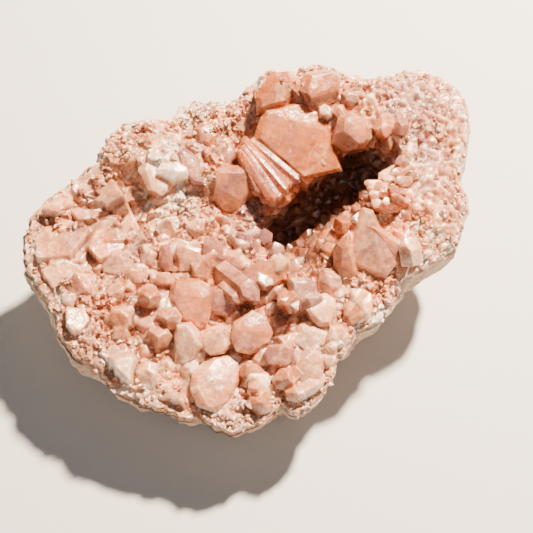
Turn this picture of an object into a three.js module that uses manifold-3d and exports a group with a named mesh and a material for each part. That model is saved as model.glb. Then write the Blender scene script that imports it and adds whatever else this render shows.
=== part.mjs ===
// Pink amethyst geode, broken open: a bowl of rough rind and, on it, one crust of quartz crystals
// that runs from the rim down into a deep hollow.
// Millimetres, +Z up. The origin is on the flat of the underside, below the middle of the geode.
// +X runs along the geode to its right-hand end, +Y to its high back.
import * as THREE from 'three';
import { mergeVertices } from 'three/addons/utils/BufferGeometryUtils.js';
import Module from 'manifold-3d';

const wasm = await Module();
wasm.setup();

// ---- driving dimensions ----

// The broken rim seen from above, anticlockwise from the right-hand end.
const rim = [
  [70, 10.5], [66.5, 17.5], [60.5, 22], [51, 22.5], [41.5, 26.5], [40.5, 29], [36, 35],
  [28.5, 35], [22.5, 41], [18, 40.5], [10.5, 39], [6, 39.5], [-1, 44.5], [-6.5, 46.5],
  [-11, 43], [-15.5, 46], [-22, 48], [-27.5, 48], [-33.5, 46], [-36.5, 42], [-39.5, 43.5],
  [-42, 42.5], [-47, 41.5], [-53.5, 41], [-60, 38.5], [-66, 31.5], [-68.5, 25], [-68.5, 19],
  [-68, 13.5], [-68, 7], [-69.5, 2], [-68, -4.5], [-65, -9], [-64, -12], [-63, -18.5],
  [-58, -26], [-52.5, -31.5], [-48.5, -36], [-45.5, -36], [-44.5, -39], [-40.5, -44.5],
  [-32, -46.5], [-25, -45.5], [-23.5, -49], [-19, -49], [-11.5, -47.5], [-7.5, -44.5],
  [-5, -42], [-3, -41.5], [3.5, -38.5], [10.5, -39], [18, -36.5], [22.5, -33], [29.5, -32],
  [40, -32], [43.5, -30.5], [47.5, -26.5], [51, -24], [53, -16], [56, -13], [63.5, -5.5],
  [68.5, 2.5],
];

// The open face: a tilted plane, with swellings and dishes on it.
const face = { level: 36.5, perX: 0.09, perY: 0.17 };
const swellings = [
  { of: 'back ridge', x: 26, y: 30, alongX: 20, alongY: 11, turn: -25, lift: 9 },
  { of: 'right lobe', x: 53, y: 3, alongX: 14, alongY: 20, turn: 20, lift: 5 },
  { of: 'lower right lobe', x: 41, y: -20, alongX: 11, alongY: 10, turn: 0, lift: 5 },
  { of: 'near wall of the hollow', x: 18, y: -25, alongX: 13, alongY: 8, turn: 0, lift: 3 },
  { of: 'far left lobe', x: -24, y: 34, alongX: 18, alongY: 12, turn: -10, lift: 2 },
  { of: 'white boss', x: -21, y: 28, alongX: 6, alongY: 7, turn: 0, lift: 3 },
  { of: 'left dish', x: -50, y: 26, alongX: 16, alongY: 12, turn: 0, lift: -2.5 },
  { of: 'front basin', x: -24, y: -14, alongX: 22, alongY: 15, turn: 0, lift: -4 },
  { of: 'front pocket', x: -36, y: -31, alongX: 12, alongY: 8, turn: -20, lift: -2.5 },
];
const ledge = { x: -38, y: 41, toX: -8, toY: 14, lift: 4, run: 2.5, fade: 22 };

// The hollow: a trough between two points, that leans back under the ridge as it deepens.
const hollow = {
  x: 2, y: -4, toX: 31, toY: 1, radius: 11.5, depth: 23, leanX: 4, leanY: 12,
  floor: 0.3, // the share of the radius that is level floor
  widening: 1.8, // how much wider it is in the rind than in the crust, for each mm of crust
};

const crustAtRim = 1.5; // thickness of the quartz crust at the rim
const crustInside = 4.5; // and away from it
const crustInset = 0.985; // the crust stops this share of the way out, inside the rind's lip
const clearance = 0.7; // between crust and rind
const rimRoll = 1.2; // how far the outermost face rolls down to the rim
const chips = 1; // how far the broken faces of the quartz step up and down

const footShare = 0.58; // the flat underside, as a share of the rim
const wallFullness = 1.9; // 1 is a straight cone, more is fuller
const wallLumps = 1.5; // height of the lumps of the outer wall
const wallBulges = [
  { of: 'right front', at: -32, spread: 18, out: 1.5 },
  { of: 'left', at: 172, spread: 22, out: 3 },
  { of: 'back', at: 80, spread: 45, out: 1 },
];

const hub = [14, -2]; // the middle of the rings of facets of the face
const faceRings = 10; // rows of facets from the hub to the rim
const ringSpread = 1.25; // more than 1 crowds them at the hub
const wallRings = 7; // rows from the rim to the middle of the underside
const sides = 6; // quartz is six-sided
const crystalFlatness = 0.9; // a crystal's width one way, as a share of the other

// Crystals placed one by one. head: middle of the shoulder, where the prism ends. rise: height of
// the head above the face, or z: its own height. heading: compass angle from +X. climb: angle
// above level. radius, tip: height of the six-faced end. root: length of the prism, if not worked out.
const crystals = [
  // back ridge, standing over the hollow
  { of: 'great', x: 20, y: 10, z: 40, heading: -90, climb: 4, radius: 8.8, tip: 5, root: 22 },
  { of: 'rib', x: 9, y: 7.5, z: 41.5, heading: -84, climb: -4, radius: 2, tip: 2, root: 20 },
  { of: 'rib', x: 6.3, y: 7, z: 42, heading: -86, climb: -5, radius: 2.4, tip: 2, root: 20 },
  { of: 'rib', x: 3.2, y: 7.2, z: 41.5, heading: -82, climb: -5, radius: 2.5, tip: 2.2, root: 18 },
  { of: 'rib', x: 0.2, y: 8, z: 40.5, heading: -88, climb: -3, radius: 2.6, tip: 2, root: 16 },
  { of: 'ridge end', x: -7.6, y: 10, z: 39, heading: -109, climb: 10, radius: 6.3, tip: 6, root: 12 },
  { of: 'ridge lump', x: 24.5, y: 27, rise: 1.5, heading: -100, climb: 40, radius: 5.5, tip: 4 },
  { of: 'ridge lump', x: 31.5, y: 23.5, rise: 1.5, heading: -60, climb: 35, radius: 5, tip: 4 },
  { of: 'ridge lump', x: 12, y: 24, rise: 1.5, heading: -110, climb: 40, radius: 5.5, tip: 3.5 },
  { of: 'right end', x: 35.5, y: 13, z: 43.5, heading: 150, climb: 22, radius: 7.2, tip: 6, root: 12 },
  { of: 'white', x: 37.5, y: 22, rise: 1.5, heading: 100, climb: 50, radius: 3, tip: 3 },
  { of: 'back', x: 42, y: 20.5, rise: 1.2, heading: -60, climb: 45, radius: 3, tip: 2.5 },
  { of: 'right end', x: 45.5, y: 10.5, z: 42.5, heading: 175, climb: 20, radius: 3.6, tip: 3, root: 8 },
  { of: 'right end', x: 42.5, y: 7, z: 40, heading: -165, climb: 15, radius: 3, tip: 2.5, root: 8 },
  { of: 'right end', x: 45.5, y: 4, z: 40, heading: -170, climb: 25, radius: 2.6, tip: 2.4, root: 7 },
  // right wall of the hollow
  { of: 'tooth', x: 41.5, y: -1.5, z: 40.5, heading: 165, climb: 25, radius: 2.6, tip: 2.6, root: 8 },
  { of: 'tooth', x: 36.5, y: -2.5, z: 38.5, heading: 150, climb: 25, radius: 2.2, tip: 2.4, root: 9 },
  { of: 'tooth', x: 34, y: -6, z: 38.5, heading: 140, climb: 30, radius: 2.4, tip: 2.4, root: 8 },
  { of: 'tooth', x: 31, y: -8.5, z: 38, heading: 130, climb: 40, radius: 3, tip: 3, root: 8 },
  // near wall of the hollow
  { of: 'near', x: 14.5, y: -15, z: 34, heading: 104, climb: 12, radius: 8, tip: 4.5, root: 15 },
  { of: 'near', x: 24.5, y: -17.5, z: 35, heading: 98, climb: 16, radius: 6.3, tip: 4, root: 10 },
  { of: 'near small', x: 17.5, y: -8.5, z: 31.5, heading: 118, climb: 40, radius: 2.9, tip: 2.8, root: 9 },
  { of: 'near small', x: 10.5, y: -11.5, z: 30.5, heading: 150, climb: 30, radius: 2.7, tip: 2.6, root: 9 },
  { of: 'near mass', x: 12.5, y: -31.5, rise: 0.8, heading: -60, climb: 55, radius: 6.5, tip: 3.5 },
  { of: 'near mass', x: 25, y: -27, rise: 0.8, heading: -40, climb: 55, radius: 5.5, tip: 3 },
  // front basin
  { of: 'basin', x: -27, y: 4.5, rise: 3, heading: 180, climb: 60, radius: 3.9, tip: 3.2 },
  { of: 'basin', x: -21.5, y: 1.5, rise: 3, heading: -60, climb: 62, radius: 3.6, tip: 3 },
  { of: 'basin', x: -22.5, y: -6.5, rise: 3.4, heading: -120, climb: 60, radius: 5.2, tip: 4 },
  { of: 'basin', x: -33, y: -8.5, rise: 4.8, heading: -150, climb: 56, radius: 6, tip: 4.6 },
  { of: 'basin', x: -30.5, y: -1.5, rise: 3.8, heading: 150, climb: 60, radius: 2.8, tip: 2.6 },
  { of: 'basin', x: -18, y: -14.5, rise: 4.6, heading: -28, climb: 18, radius: 4.6, tip: 4.4, root: 10 },
  { of: 'basin', x: -13.5, y: -10.5, rise: 5, heading: -80, climb: 14, radius: 3, tip: 3, root: 10 },
  { of: 'basin', x: -8.5, y: -11, rise: 5.4, heading: -60, climb: 60, radius: 5, tip: 4.6 },
  { of: 'basin', x: -8, y: -21, rise: 6, heading: -100, climb: 66, radius: 4, tip: 4.4 },
  { of: 'basin', x: -2.5, y: -19, rise: 5, heading: 0, climb: 40, radius: 4.2, tip: 4 },
  { of: 'basin', x: 4, y: -21, rise: 3, heading: 60, climb: 50, radius: 2.8, tip: 2.6 },
  { of: 'basin', x: -1, y: -28, rise: 3.6, heading: -100, climb: 70, radius: 4.5, tip: 3.6 },
  { of: 'basin', x: -21.5, y: -23.5, rise: 5, heading: -60, climb: 56, radius: 6.2, tip: 4.4 },
  { of: 'basin', x: -13.5, y: -27, rise: 4, heading: -20, climb: 50, radius: 4, tip: 3.6 },
  { of: 'basin', x: -31, y: -20.5, rise: 4.6, heading: -120, climb: 72, radius: 5.2, tip: 3.4 },
  { of: 'basin', x: -18, y: -31.5, rise: 2.6, heading: -90, climb: 50, radius: 3.6, tip: 3 },
  { of: 'basin', x: -25, y: -28, rise: 2.6, heading: -70, climb: 60, radius: 3, tip: 2.6 },
  { of: 'basin', x: -41.5, y: -19, rise: 3.6, heading: -118, climb: 14, radius: 3.7, tip: 3.4, root: 11 },
  { of: 'basin', x: -38.5, y: -30.5, rise: 3.4, heading: -150, climb: 60, radius: 7.2, tip: 4.6 },
  { of: 'basin', x: -26.5, y: -34, rise: 3, heading: -30, climb: 58, radius: 4.8, tip: 3.8 },
  { of: 'basin', x: -31.5, y: -39.5, rise: 1.8, heading: -100, climb: 48, radius: 4.6, tip: 3.2 },
  { of: 'basin', x: -9, y: -35, rise: 1.6, heading: 60, climb: 58, radius: 5.2, tip: 3.6 },
  { of: 'basin', x: -15, y: -40.5, rise: 1, heading: -90, climb: 64, radius: 4.6, tip: 3 },
  // front left
  { of: 'left', x: -37.5, y: 10.5, rise: 2.6, heading: 160, climb: 62, radius: 4, tip: 3.2 },
  { of: 'left', x: -32, y: 8, rise: 2.4, heading: -60, climb: 60, radius: 2.8, tip: 2.4 },
  { of: 'left', x: -36.5, y: 1.5, rise: 3.6, heading: -130, climb: 66, radius: 3.6, tip: 3 },
  { of: 'left', x: -42, y: 4.5, rise: 3, heading: 170, climb: 64, radius: 3.9, tip: 3 },
  { of: 'left', x: -49.5, y: 7, rise: 3, heading: -120, climb: 70, radius: 2.5, tip: 2.2 },
  { of: 'left', x: -51, y: 13, rise: 2, heading: 120, climb: 66, radius: 2.8, tip: 2.2 },
  { of: 'left', x: -40, y: -3.5, rise: 2.6, heading: -100, climb: 62, radius: 3, tip: 2.6 },
  { of: 'left', x: -45, y: 21.5, rise: 1.2, heading: -160, climb: 32, radius: 3.4, tip: 2.6 },
  { of: 'left', x: -45, y: -1.5, rise: 2, heading: -140, climb: 60, radius: 3, tip: 2.4 },
  { of: 'left', x: -57.5, y: -1.5, rise: 1.6, heading: -170, climb: 60, radius: 3.6, tip: 2.6 },
  { of: 'left', x: -57, y: -16, rise: 1.4, heading: -150, climb: 64, radius: 4.2, tip: 2.8 },
  { of: 'left', x: -48.5, y: -12.5, rise: 2.4, heading: -140, climb: 62, radius: 3.7, tip: 2.8 },
  { of: 'left', x: -51, y: -23, rise: 1.8, heading: -120, climb: 62, radius: 3.8, tip: 2.8 },
  { of: 'left', x: -61, y: 17, rise: 1, heading: 170, climb: 60, radius: 3, tip: 2.2 },
  // broken faces of the left lobes and the back
  { of: 'broken', x: -21, y: 28, rise: 0.4, heading: 20, climb: 84, radius: 7.5, tip: 2.4 },
  { of: 'broken', x: -33, y: 36, rise: 0.4, heading: 150, climb: 74, radius: 5.5, tip: 2 },
  { of: 'broken', x: -12, y: 35, rise: 0.2, heading: 60, climb: 78, radius: 5, tip: 2 },
  { of: 'broken', x: -1, y: 29, rise: 0.4, heading: -90, climb: 76, radius: 5, tip: 2.2 },
  { of: 'broken', x: 3, y: 20, rise: 0.8, heading: -100, climb: 60, radius: 4.5, tip: 2.4 },
  { of: 'broken', x: -13, y: 20, rise: 0.6, heading: -120, climb: 68, radius: 4.6, tip: 2.4 },
  { of: 'broken', x: -50, y: 33, rise: 0.3, heading: -120, climb: 80, radius: 6, tip: 1.8 },
  { of: 'broken', x: -58.5, y: 25, rise: 0.3, heading: 170, climb: 78, radius: 5, tip: 1.8 },
  { of: 'broken', x: -36, y: 27, rise: 0.4, heading: -60, climb: 76, radius: 5.5, tip: 2 },
  { of: 'broken', x: -28, y: 17, rise: 0.6, heading: -90, climb: 74, radius: 4.6, tip: 2.2 },
  { of: 'broken', x: -60, y: 7, rise: 0.4, heading: -150, climb: 72, radius: 4.2, tip: 1.8 },
  { of: 'broken', x: 56, y: 12, rise: 0.4, heading: 60, climb: 78, radius: 5, tip: 1.8 },
  { of: 'broken', x: 54, y: -3, rise: 0.4, heading: -20, climb: 76, radius: 4.6, tip: 1.8 },
];

// Where smaller crystals grow between those: a patch, how many are tried and how big they are.
const patches = [
  { of: 'hollow', x: 16, y: -2, alongX: 26, alongY: 12, tries: 24, small: 1.8, big: 2.9 },
  { of: 'basin', x: -22, y: -18, alongX: 36, alongY: 26, tries: 20, small: 1.7, big: 2.8 },
  { of: 'left', x: -50, y: 2, alongX: 16, alongY: 26, tries: 8, small: 1.7, big: 2.6 },
  { of: 'right', x: 46, y: -8, alongX: 18, alongY: 24, tries: 30, small: 1.7, big: 2.4 },
];
const mostSmall = 14; // small crystals in all
const smallLean = 0.7; // how far they stray from square to the face
const seed = 20; // of the chance turns and sizes

// ---- the surfaces ----

const smooth = (from, to, value) => THREE.MathUtils.smoothstep(value, from, to);

// How far a point is along a segment, held to its ends, how far from it, and how far to its left.
function fromSegment(x, y, s) {
  const along = new THREE.Vector2(s.toX - s.x, s.toY - s.y);
  const to = new THREE.Vector2(x - s.x, y - s.y);
  const share = THREE.MathUtils.clamp(to.dot(along) / along.lengthSq(), 0, 1);
  const side = along.cross(to) / along.length();
  return { share, side, distance: to.addScaledVector(along, -share).length() };
}

// 0 outside the hollow, 1 on its floor. Sunk into the rock, the hollow is wider.
function hollowShare(x, y, sunk) {
  const radius = hollow.radius + hollow.widening * sunk;
  return 1 - smooth(hollow.floor, 1, fromSegment(x, y, hollow).distance / radius);
}

function swelling(x, y, s) {
  const turn = THREE.MathUtils.degToRad(s.turn);
  const along = (x - s.x) * Math.cos(turn) + (y - s.y) * Math.sin(turn);
  const across = (y - s.y) * Math.cos(turn) - (x - s.x) * Math.sin(turn);
  return s.lift * Math.exp(-((along / s.alongX) ** 2) - (across / s.alongY) ** 2);
}

function ledgeLift(x, y) {
  const { share, side } = fromSegment(x, y, ledge);
  const ends = smooth(0, 0.12, share) * (1 - smooth(0.9, 1, share));
  return ledge.lift * ends * smooth(-ledge.run, ledge.run, side) * Math.exp(-((side / ledge.fade) ** 2));
}

// A point of the open face, over (x, y) or, in the hollow, leaning away from it, or the same point
// of a surface sunk into the rock.
function facePoint(x, y, sunk = 0) {
  const share = hollowShare(x, y, sunk);
  let z = face.level + face.perX * x + face.perY * y + ledgeLift(x, y) - sunk;
  for (const s of swellings) z += swelling(x, y, s);
  return new THREE.Vector3(x + hollow.leanX * share, y + hollow.leanY * share, z - hollow.depth * share);
}

function faceNormal(x, y) {
  const step = 0.4;
  const across = facePoint(x + step, y).sub(facePoint(x - step, y));
  return across.cross(facePoint(x, y + step).sub(facePoint(x, y - step))).normalize();
}

// The face, a ring's share of the way out from the hub to the rim, sunk below itself by a depth.
// Reach makes the rim larger or smaller.
function sunkFace(column, ring, reach, depthAt) {
  const [x, y] = rim[column].map((v, i) => THREE.MathUtils.lerp(hub[i], v * reach, ring ** ringSpread));
  const p = facePoint(x, y, depthAt(ring));
  p.z -= rimRoll * smooth(0.88, 1, ring) ** 2;
  return p;
}

// How far a broken face of the quartz stands up, at one corner of the facets.
function chip(column, ring) {
  const scatter = Math.sin(column * 12.9 + ring * 78.2) * 43758.5;
  const away = smooth(0.3, 0.5, ring) * (1 - smooth(0.9, 1, ring));
  return 2 * chips * (scatter - Math.floor(scatter) - 0.5) * away;
}

const crustDepth = (ring) => THREE.MathUtils.lerp(crustInside, crustAtRim, smooth(0.78, 1, ring));

// Rounded lumps, about 2 cm apart.
const lumps = (p) =>
  Math.sin(0.31 * p.x + 1.3 * Math.sin(0.17 * p.z)) * Math.sin(0.27 * p.y + 0.4) +
  0.6 * Math.sin(0.52 * p.x - 0.33 * p.z + 1) * Math.sin(0.47 * p.y + 0.38 * p.z);

// The rim with its notches smoothed away, as the wall lower down has it.
const settledRim = rim.map((_, column) => {
  const near = [-2, -1, 0, 1, 2].map((i) => rim.at((column + i) % rim.length));
  return [0, 1].map((axis) => near.reduce((sum, point) => sum + point[axis], 0) / near.length);
});

// The outer wall, from just below the rim to the flat underside (down 1) and its middle (down over 1).
function wallPoint(column, down, grow) {
  if (down > 1) return new THREE.Vector3(0, 0, -grow);
  const settled = Math.min(1, 2 * down);
  const [x, y] = rim[column].map((v, axis) => THREE.MathUtils.lerp(v, settledRim[column][axis], settled));
  const top = sunkFace(column, 1, 1, crustDepth);
  const share = 1 - (1 - footShare) * down ** wallFullness;
  const p = new THREE.Vector3(x * share, y * share, top.z * (1 - down));
  const heading = THREE.MathUtils.radToDeg(Math.atan2(y, x));
  let out = wallLumps * lumps(p);
  for (const b of wallBulges) {
    const off = THREE.MathUtils.euclideanModulo(heading - b.at + 180, 360) - 180;
    out += b.out * Math.exp(-((off / b.spread) ** 2));
  }
  p.addScaledVector(new THREE.Vector3(x, y, 0).normalize(), out * Math.sin(Math.PI * down) + grow);
  return down === 1 ? p.setZ(-grow) : p;
}

// ---- solids ----

// Every mesh here is a sphere whose rows and columns are moved to their places: the upper half by
// top(column, ring), with ring 0 at the hub and 1 at the rim, and the lower half by wallPoint.
function shell(top, grow) {
  const rows = faceRings + wallRings;
  const ball = new THREE.SphereGeometry(1, rim.length, rows).rotateX(Math.PI / 2);
  const place = ball.getAttribute('position');
  for (let i = 0; i < place.count; i++) {
    const p = new THREE.Vector3().fromBufferAttribute(place, i);
    const row = Math.round((Math.acos(THREE.MathUtils.clamp(p.z, -1, 1)) / Math.PI) * rows);
    const turn = Math.round((Math.atan2(p.y, p.x) / (2 * Math.PI)) * rim.length);
    const column = (turn + rim.length) % rim.length;
    const down = (row - faceRings) / (wallRings - 1);
    const moved = down <= 0 ? top(column, row / faceRings) : wallPoint(column, down, grow);
    place.setXYZ(i, ...moved);
  }
  return solidOf(ball);
}

// A closed three.js geometry as a manifold-3d solid.
function solidOf(geometry) {
  geometry.deleteAttribute('normal');
  geometry.deleteAttribute('uv');
  const merged = mergeVertices(geometry, 1e-4);
  return new wasm.Manifold(new wasm.Mesh({
    numProp: 3,
    vertProperties: new Float32Array(merged.getAttribute('position').array),
    triVerts: new Uint32Array(merged.index.array),
  }));
}

// The largest closed body of a solid, as a three.js geometry.
function geometryOf(solid) {
  const [body] = solid.decompose().sort((a, b) => b.volume() - a.volume());
  const mesh = body.getMesh();
  const geometry = new THREE.BufferGeometry();
  geometry.setAttribute('position', new THREE.BufferAttribute(mesh.vertProperties, mesh.numProp));
  geometry.setIndex(new THREE.BufferAttribute(mesh.triVerts, 1));
  geometry.computeVertexNormals();
  return geometry;
}

// A quartz crystal: a six-sided prism with a six-faced end. Its shoulders zigzag and its apex is off
// centre, so that three end faces are large and three small. The head is at the origin, up +Z.
function crystalGeometry(c, random) {
  const outline = [[0, -c.root], [c.radius, -c.root], [c.radius, 0], [0, c.tip]];
  const profile = outline.map(([r, z]) => new THREE.Vector2(r, z));
  const body = new THREE.LatheGeometry(profile, sides).rotateX(Math.PI / 2);
  const place = body.getAttribute('position');
  const apex = new THREE.Vector2(random() - 0.5, random() - 0.5).multiplyScalar(c.radius * 0.5);
  const zigzag = c.radius * (0.1 + 0.18 * random());
  for (let i = 0; i < place.count; i++) {
    const p = new THREE.Vector3().fromBufferAttribute(place, i);
    const corner = Math.round((Math.atan2(p.y, p.x) / (2 * Math.PI)) * sides + sides);
    if (Math.abs(p.z) < 1e-3) p.z = corner % 2 ? zigzag : -zigzag;
    if (Math.abs(p.z - c.tip) < 1e-3) p.set(apex.x, apex.y, c.tip);
    place.setXYZ(i, p.x, p.y * crystalFlatness, p.z);
  }
  return body;
}

// The crystal turned about itself by chance, and then to point along a direction, as a solid.
function standing(c, head, direction, random) {
  const up = new THREE.Vector3(0, 0, 1);
  const body = crystalGeometry(c, random).rotateZ(random() * Math.PI);
  body.applyQuaternion(new THREE.Quaternion().setFromUnitVectors(up, direction));
  return solidOf(body.translate(...head));
}

function placedCrystal(c, random) {
  const fromUp = THREE.MathUtils.degToRad(90 - c.climb);
  const direction = new THREE.Vector3(Math.sin(fromUp), 0, Math.cos(fromUp));
  direction.applyAxisAngle(new THREE.Vector3(0, 0, 1), THREE.MathUtils.degToRad(c.heading));
  const z = c.z ?? facePoint(c.x, c.y).z + c.rise;
  const root = c.root ?? c.rise / direction.z + c.radius * 0.5 + 1.5;
  return standing({ ...c, root }, [c.x, c.y, z], direction, random);
}

// Small crystals grow nearly square to the face, wherever there is room between the others.
function smallCrystals(random) {
  const taken = crystals.map(({ x, y, radius }) => ({ x, y, radius }));
  const grown = [];
  const lean = () => (random() - 0.5) * smallLean;
  for (const patch of patches) {
    for (let i = 0; i < patch.tries && grown.length < mostSmall; i++) {
      const angle = random() * 2 * Math.PI;
      const far = Math.sqrt(random());
      const x = patch.x + patch.alongX * far * Math.cos(angle);
      const y = patch.y + patch.alongY * far * Math.sin(angle);
      const radius = THREE.MathUtils.lerp(patch.small, patch.big, random());
      const free = taken.every((t) => Math.hypot(t.x - x, t.y - y) > 0.85 * (t.radius + radius));
      if (!free || !insideRim(x, y)) continue;
      const direction = faceNormal(x, y).add(new THREE.Vector3(lean(), lean(), lean())).normalize();
      const rise = radius * THREE.MathUtils.lerp(0.5, 1.1, random());
      const head = facePoint(x, y).addScaledVector(direction, rise);
      const crystal = { radius, tip: radius * 0.9, root: rise + 2.5 };
      taken.push({ x, y, radius });
      grown.push(standing(crystal, head, direction, random));
    }
  }
  return grown;
}

// Whether a point is inside the rim by a few millimetres.
function insideRim(x, y) {
  const margin = 0.93;
  let inside = false;
  rim.forEach(([ax, ay], i) => {
    const [bx, by] = rim[(i + 1) % rim.length];
    const crosses = ay * margin > y !== by * margin > y;
    const at = ((bx - ax) * (y - ay * margin)) / (by - ay) + ax * margin;
    if (crosses && x < at) inside = !inside;
  });
  return inside;
}

const rindSolid = shell((column, ring) => sunkFace(column, ring, 1, crustDepth), 0);

// The rind made larger all round by the clearance, to cut the crust clear of it.
function rindAndGap() {
  const depthAt = (ring) => crustDepth(ring) - clearance;
  return shell((column, ring) => sunkFace(column, ring, 1, depthAt), 2);
}

// The crust is the whole geode with its crystals, less the rind.
function crustSolid() {
  const random = () => THREE.MathUtils.seededRandom();
  THREE.MathUtils.seededRandom(seed);
  const depthAt = (column) => (ring) => -chip(column, ring);
  let whole = shell((column, ring) => sunkFace(column, ring, crustInset, depthAt(column)), 0);
  for (const c of crystals) whole = whole.add(placedCrystal(c, random));
  for (const c of smallCrystals(random)) whole = whole.add(c);
  return whole.subtract(rindAndGap());
}

function named(name, solid, look) {
  const material = new THREE.MeshStandardMaterial({ ...look, metalness: 0, flatShading: true });
  const mesh = new THREE.Mesh(geometryOf(solid), material);
  mesh.name = name;
  return mesh;
}

const geode = new THREE.Group();
geode.name = 'amethyst_geode';
geode.add(named('rind', rindSolid, { color: 0xd8c3ae, roughness: 0.95 }));
geode.add(named('crystal_crust', crustSolid(), { color: 0xdba088, roughness: 0.35 }));

export default geode;
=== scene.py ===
# Pink amethyst geode: a bowl of chalky rind, broken quartz round its rim, and the crystals in it.
import math
import random
import bmesh
import bpy
import numpy as np
from mathutils import Euler, Matrix, Vector, noise


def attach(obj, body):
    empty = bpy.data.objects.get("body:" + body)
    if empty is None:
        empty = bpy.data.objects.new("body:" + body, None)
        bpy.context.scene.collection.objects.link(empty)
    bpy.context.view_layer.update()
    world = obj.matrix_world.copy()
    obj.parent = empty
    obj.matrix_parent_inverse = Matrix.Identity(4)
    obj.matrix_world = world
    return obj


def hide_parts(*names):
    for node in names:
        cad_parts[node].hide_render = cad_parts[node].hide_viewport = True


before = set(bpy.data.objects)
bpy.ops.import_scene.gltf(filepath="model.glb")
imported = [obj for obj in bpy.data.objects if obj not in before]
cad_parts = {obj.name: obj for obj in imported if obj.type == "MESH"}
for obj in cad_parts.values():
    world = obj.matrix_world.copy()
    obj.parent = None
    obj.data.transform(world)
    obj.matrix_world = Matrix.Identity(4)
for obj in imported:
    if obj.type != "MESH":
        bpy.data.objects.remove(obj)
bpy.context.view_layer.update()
mm = 0.001
up = Vector((0, 0, 1))


def linear(hexColour):
    # sRGB hex to the linear colour that shaders take
    parts = [int(hexColour[i:i + 2], 16) / 255 for i in (1, 3, 5)]
    return [c / 12.92 if c < 0.04045 else ((c + 0.055) / 1.055) ** 2.4 for c in parts] + [1]


def smooth(low, high, value):
    # 0 at low to 1 at high, eased at both ends
    t = np.clip((value - low) / (high - low), 0, 1)
    return t * t * (3 - 2 * t)


def addNode(tree, kind, inputs=None, **settings):
    # a node or a socket given as an input is linked, anything else is its value
    node = tree.nodes.new(kind)
    for name, value in settings.items():
        setattr(node, name, value)
    for name, value in (inputs or {}).items():
        if isinstance(value, bpy.types.Node):
            value = next(socket for socket in value.outputs if socket.enabled)
        if isinstance(value, bpy.types.NodeSocket):
            tree.links.new(value, node.inputs[name])
        else:
            node.inputs[name].default_value = value
    return node


def newMaterial(name):
    material = bpy.data.materials.new(name)
    material.use_nodes = True
    tree = material.node_tree
    tree.nodes.clear()
    return material, tree


def newObject(name, vertices, faces, material):
    mesh = bpy.data.meshes.new(name)
    mesh.from_pydata([tuple(v) for v in vertices], [], faces)
    mesh.validate()
    mesh.materials.append(material)
    piece = bpy.data.objects.new(name, mesh)
    bpy.context.collection.objects.link(piece)
    return piece


def setAttribute(mesh, name, values, domain="POINT"):
    layer = mesh.attributes.new(name, "FLOAT", domain)
    layer.data.foreach_set("value", np.ascontiguousarray(values, dtype=np.float32))


# the stone's own shape, in mm, as its solids have it
stone = {
    "rim": [  # the broken rim from above, anticlockwise from the right-hand end
        (70, 10.5), (66.5, 17.5), (60.5, 22), (51, 22.5), (41.5, 26.5), (40.5, 29), (36, 35),
        (28.5, 35), (22.5, 41), (18, 40.5), (10.5, 39), (6, 39.5), (-1, 44.5), (-6.5, 46.5),
        (-11, 43), (-15.5, 46), (-22, 48), (-27.5, 48), (-33.5, 46), (-36.5, 42), (-39.5, 43.5),
        (-42, 42.5), (-47, 41.5), (-53.5, 41), (-60, 38.5), (-66, 31.5), (-68.5, 25), (-68.5, 19),
        (-68, 13.5), (-68, 7), (-69.5, 2), (-68, -4.5), (-65, -9), (-64, -12), (-63, -18.5),
        (-58, -26), (-52.5, -31.5), (-48.5, -36), (-45.5, -36), (-44.5, -39), (-40.5, -44.5),
        (-32, -46.5), (-25, -45.5), (-23.5, -49), (-19, -49), (-11.5, -47.5), (-7.5, -44.5),
        (-5, -42), (-3, -41.5), (3.5, -38.5), (10.5, -39), (18, -36.5), (22.5, -33), (29.5, -32),
        (40, -32), (43.5, -30.5), (47.5, -26.5), (51, -24), (53, -16), (56, -13), (63.5, -5.5),
        (68.5, 2.5),
    ],
    "level": 36.5, "perX": 0.09, "perY": 0.17,  # the open face, a tilted plane
    "swellings": [  # x, y, reach along and across, turn in degrees, lift
        (26, 30, 20, 11, -25, 9), (53, 3, 14, 20, 20, 5), (41, -20, 11, 10, 0, 5),
        (18, -25, 13, 8, 0, 3), (-24, 34, 18, 12, -10, 2), (-21, 28, 6, 7, 0, 3),
        (-50, 26, 16, 12, 0, -2.5), (-24, -14, 22, 15, 0, -4), (-36, -31, 12, 8, -20, -2.5),
    ],
    "ledge": {"start": (-38, 41), "end": (-8, 14), "lift": 4, "run": 2.5, "fade": 22},
    "hollow": {  # a trough that leans back under the ridge; floor is the flat share of its radius
        "start": (2, -4), "end": (31, 1), "radius": 11.5, "floor": 0.3, "depth": 23,
        "lean": (4, 12), "widening": 1.8,  # the widening is for each mm further down
    },
    "hub": (14, -2),  # middle of the rings of the face
    "ringSpread": 1.25,  # over 1, the rings crowd toward the hub
    "rimRoll": 1.2,  # how far the face turns down at the rim
    "crustAtRim": 1.5, "crustInside": 4.5, "crustInset": 0.985,
    "foot": 0.58,  # the flat underside, as a share of the rim
    "fullness": 1.9,  # of the wall, which is straight down to the foot at 1
    "wallLumps": 1.5,
    "wallBulges": [(-32, 18, 1.5), (172, 22, 3), (80, 45, 1)],  # heading, spread, out
}


def fromSegment(x, y, start, end):
    # how far along a straight line the nearest point is, how far off, and on which side
    along = np.subtract(end, start)
    dx, dy = x - start[0], y - start[1]
    share = np.clip((dx * along[0] + dy * along[1]) / along.dot(along), 0, 1)
    distance = np.hypot(dx - along[0] * share, dy - along[1] * share)
    side = (along[0] * dy - along[1] * dx) / np.hypot(*along)
    return share, distance, side


def hollowShare(x, y, sunk=0):
    # 1 over the hollow's floor, 0 outside its mouth
    h = stone["hollow"]
    distance = fromSegment(x, y, h["start"], h["end"])[1]
    return 1 - smooth(h["floor"], 1, distance / (h["radius"] + h["widening"] * sunk))


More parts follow.
